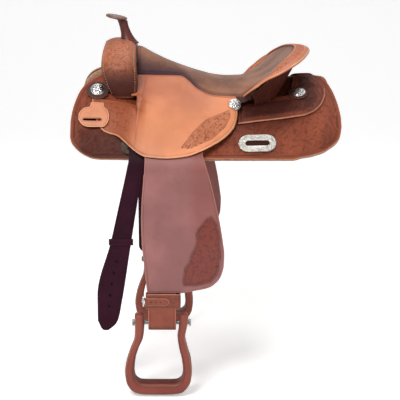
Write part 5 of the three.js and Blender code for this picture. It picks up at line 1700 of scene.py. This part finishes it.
def seat_facings():
    """The suede turned down round the seat's edge, over the foam and the ground seat."""
    # The facings are darkened all over with painted shade.
    finish = dict(finish="suede", field=plain(tool=0.35, shade=0.7), radius=0.5, wear=0.01)
    drop = -2.2 - 15.5 * spaced(15.5, 1.5, THIN_EDGE[:3])
    # The piece named "near" is the one on the +y side.
    for tag, sign in (("near", 1.0), ("off", -1.0)):
        line = np.vstack([
            seat_point(np.linspace(-174.0, SEAT_REAR, 132), sign, 1.0),
            dish_point(np.linspace(0, 0.985, 48)[1:], sign, 1.0)])
        along = unit(np.gradient(line, axis=0))
        outward = unit(xyz(-along[:, 1], along[:, 0], 0))
        outward = np.where((outward[:, 1] * sign < 0)[:, None], -outward, outward)
        outer, back = ((line + outward * shift)[:, None] + xyz(0, 0, drop)
                       for shift in (0.9, -0.5))
        sheet("seat_side_facing_" + tag, outer, back, **finish)
    front = seat_point(SEAT_FRONT, np.linspace(-1, 1, 70), 1.0)
    outer, back = (xyz(x, front[:, 1:2], front[:, 2:] + drop) for x in (-175.0, -173.6))
    sheet("seat_front_facing", outer, back, **finish)


# ------------------------------------------------------------------ cantle
def cantle_roll():
    side = np.linspace(-1, 1, 321)
    side = np.unique(np.concatenate([side, [-0.9985, -0.996, 0.996, 0.9985]]))
    point, normal = rim(side)
    side = np.abs(side)[:, None]
    angle = turn(72)
    # The section thins towards the ends of the roll and is rounded off there.
    size = np.minimum(1, 0.42 + 4 * (1 - side))
    end = clamp((1 - side) / 0.012)
    end = 0.25 + 0.75 * np.sqrt(1 - (1 - end) ** 2)
    upward = np.sin(angle)
    reach = 19.5 * signed_power(np.cos(angle), 0.85)
    out = 4.5 * size + reach * (size * end)
    rise = (-4 - 0.153 * (out / size - 4.5) + 5.3 * signed_power(upward, 0.85) * end)
    rise = rise * (0.35 + 0.65 * size)
    rings = xyz(point[:, :1] + normal[:, :1] * out, point[:, 1:2] + normal[:, 1:2] * out,
                point[:, 2:] + rise)
    normals = ring_normals(rings)
    top = smooth(-0.05, 0.35, upward)
    relief, dark = carve(arc_length(point)[:, None], reach + 60, seed=81, cell=22)
    grooves = (gauss(reach, 7.2, 0.55) + gauss(reach, 11.0, 0.55)) * top
    carved = top * smooth(5.6, 4.6, reach) * smooth(-16.5, -14.5, reach)
    bead = 0.5 * top * gauss(reach, 9.1, 0.9)
    relief = carved * (relief * 0.9 - 0.6) - grooves * 0.7 + bead
    surface = rings + normals * (relief * smooth(1.0, 0.97, side))[..., None]
    # The shade attribute is painted shade on the underside of the roll.
    loft("cantle_roll_leather", surface, "roll", replaces=("cantle_roll",),
         tool=clamp(carved * dark * 0.6 + grooves * 0.35),
         edge=clamp(gauss(reach, 17.5, 1.7) * top * 0.95), shade=smooth(0.0, -0.5, upward))
    for target, tag in ((7.2, "inner"), (11.0, "outer"), (-17.0, "dish")):
        k = int(np.argmin(np.abs(reach - target) + 50 * (upward < 0.1)))
        stitches("cantle_stitching_" + tag, surface[10:-10, k], normals[10:-10, k],
                 length=4.4, gap=1.8, radius=0.6, sink=0.05)


def cantle_back():
    def field(points, margin, along, across):
        relief, dark = carve(along, across, seed=91, cell=32)
        carved, groove = smooth(6.5, 8.5, margin), gauss(margin, 5.2, 0.7)
        # The constant shade of 0.8 is painted shadow under the roll.
        return (carved * (relief * 0.9 - 0.7) - groove * 0.6,
                clamp(carved * dark * 0.6 + groove * 0.8), 0.8)

    side = 0.9 * (2 * spaced(420, 2.4) - 1)[:, None]
    fall = spaced(90, 2.4)
    sheet("cantle_back_leather", back_face(side, fall, 0.0), back_face(side, fall, 3.5), "rear",
          field, replaces=("cantle_back",), wear=0.3)


for build in (swell, horn, horn_cap, seat, seat_facings, cantle_roll, cantle_back):
    build()

# ------------------------------------------------------------------ hard parts kept from the CAD
KEPT = {"tree_fork": "wood", "horn_core": "steel", "ground_seat": "skirt", "seat_foam": "foam",
        "cantle_board": "wood", "tree_bar": "wood", "rear_rigging_plate": "engraved",
        "front_rigging_plate": "dark_steel", "hobble_buckle": "silver",
        "stirrup_bolt": "steel", "stirrup_roller": "steel", "buckle_tongue": "silver"}
for name, piece in nodes.items():
    if piece.hide_render:
        continue
    kind = name.removesuffix("_near").removesuffix("_off")
    material, slot = FINISHES[KEPT[kind]]
    piece.data.materials.clear()
    piece.data.materials.append(material)
    if kind in ("rear_rigging_plate", "front_rigging_plate", "hobble_buckle"):
        weld = piece.modifiers.new("weld", "WELD")
        weld.merge_threshold = 0.00002
        bevel = piece.modifiers.new("bevel", "BEVEL")
        bevel.width = 0.0008
        bevel.segments = 3
        bevel.limit_method = "ANGLE"
        bevel.angle_limit = math.radians(40)


# ------------------------------------------------------------------ floor, lights, camera (metres)
def floor():
    """A pale floor that sweeps up into a wall behind the saddle."""
    bend_y, bend_run, bend_rise = 3.0, 2.2, 2.2
    profile = [(-9, 0.0)]
    profile += [(bend_y + bend_run * math.sin(t), bend_rise - bend_rise * math.cos(t))
                for t in np.linspace(0, PI / 2, 14)]
    profile.append((bend_y + bend_run, 9.0))
    points = [(x, y, z) for y, z in profile for x in (-12, 12)]
    faces = [(2 * i, 2 * i + 1, 2 * i + 3, 2 * i + 2) for i in range(len(profile) - 1)]
    mesh = bpy.data.meshes.new("sweep")
    mesh.from_pydata(points, [], faces)
    mesh.polygons.foreach_set("use_smooth", np.full(len(faces), True))
    s = Shader("pale_floor", textured=False)
    seen = s.new("ShaderNodeLightPath").outputs["Is Camera Ray"]
    s.surface({"Base Color": (0.9, 0.9, 0.9, 1), "Emission Color": (1, 1, 1, 1),
               "Emission Strength": s.times(seen, 0.42), "Roughness": 0.9})
    mesh.materials.append(s.material)
    piece = bpy.data.objects.new("floor", mesh)
    piece.location = (0, 0, -0.003)
    link(piece)


def aim(thing, place, target):
    thing.location = place
    thing.rotation_euler = (Vector(target) - Vector(place)).to_track_quat("-Z", "Y").to_euler()


def area(name, place, size, power):
    light = bpy.data.lights.new(name, "AREA")
    light.shape = "DISK"
    light.size = size
    light.energy = power
    lamp = bpy.data.objects.new(name, light)
    aim(lamp, place, (0, 0, 0.5))
    link(lamp)


def studio():
    """White all round: brighter from above, and full white to the camera."""
    world = bpy.data.worlds.new("studio")
    bpy.context.scene.world = world
    world.use_nodes = True
    new, join = world.node_tree.nodes.new, world.node_tree.links.new
    background = world.node_tree.nodes["Background"]
    light_path = new("ShaderNodeLightPath")
    place = new("ShaderNodeTexCoord")
    split = new("ShaderNodeSeparateXYZ")
    join(place.outputs["Generated"], split.inputs[0])
    upward = new("ShaderNodeMapRange")
    # From height, to height, strength low, strength high.
    for i, value in enumerate((-0.1, 0.9, 0.16, 0.46)):
        upward.inputs[i + 1].default_value = value
    join(split.outputs[2], upward.inputs[0])
    strength = new("ShaderNodeMix")
    join(light_path.outputs["Is Camera Ray"], strength.inputs[0])
    join(upward.outputs[0], strength.inputs[2])
    strength.inputs[3].default_value = 1.0
    join(strength.outputs[0], background.inputs[1])
    background.inputs[0].default_value = (1, 1, 1, 1)
    bpy.context.scene.view_settings.view_transform = "Standard"
    bpy.context.scene.view_settings.look = "None"


def camera():
    """On the near side, looking down 14 degrees."""
    lens = bpy.data.cameras.new("camera")
    lens.lens = 122.4
    lens.sensor_width = 36
    lens.clip_end = 100
    piece = bpy.data.objects.new("camera", lens)
    down, distance = math.radians(14), 3.4
    target = Vector((-0.015, -0.2, 0.4827))
    aim(piece, target + Vector((0, -math.cos(down), math.sin(down))) * distance, target)
    link(piece)
    bpy.context.scene.camera = piece


floor()
area("key", place=(-1.1, -2.6, 3.2), size=1.4, power=96)
area("fill", place=(2.6, -2.8, 1.4), size=2.4, power=22)
area("top", place=(0.3, 0.8, 3.4), size=2.2, power=32)
studio()
camera()
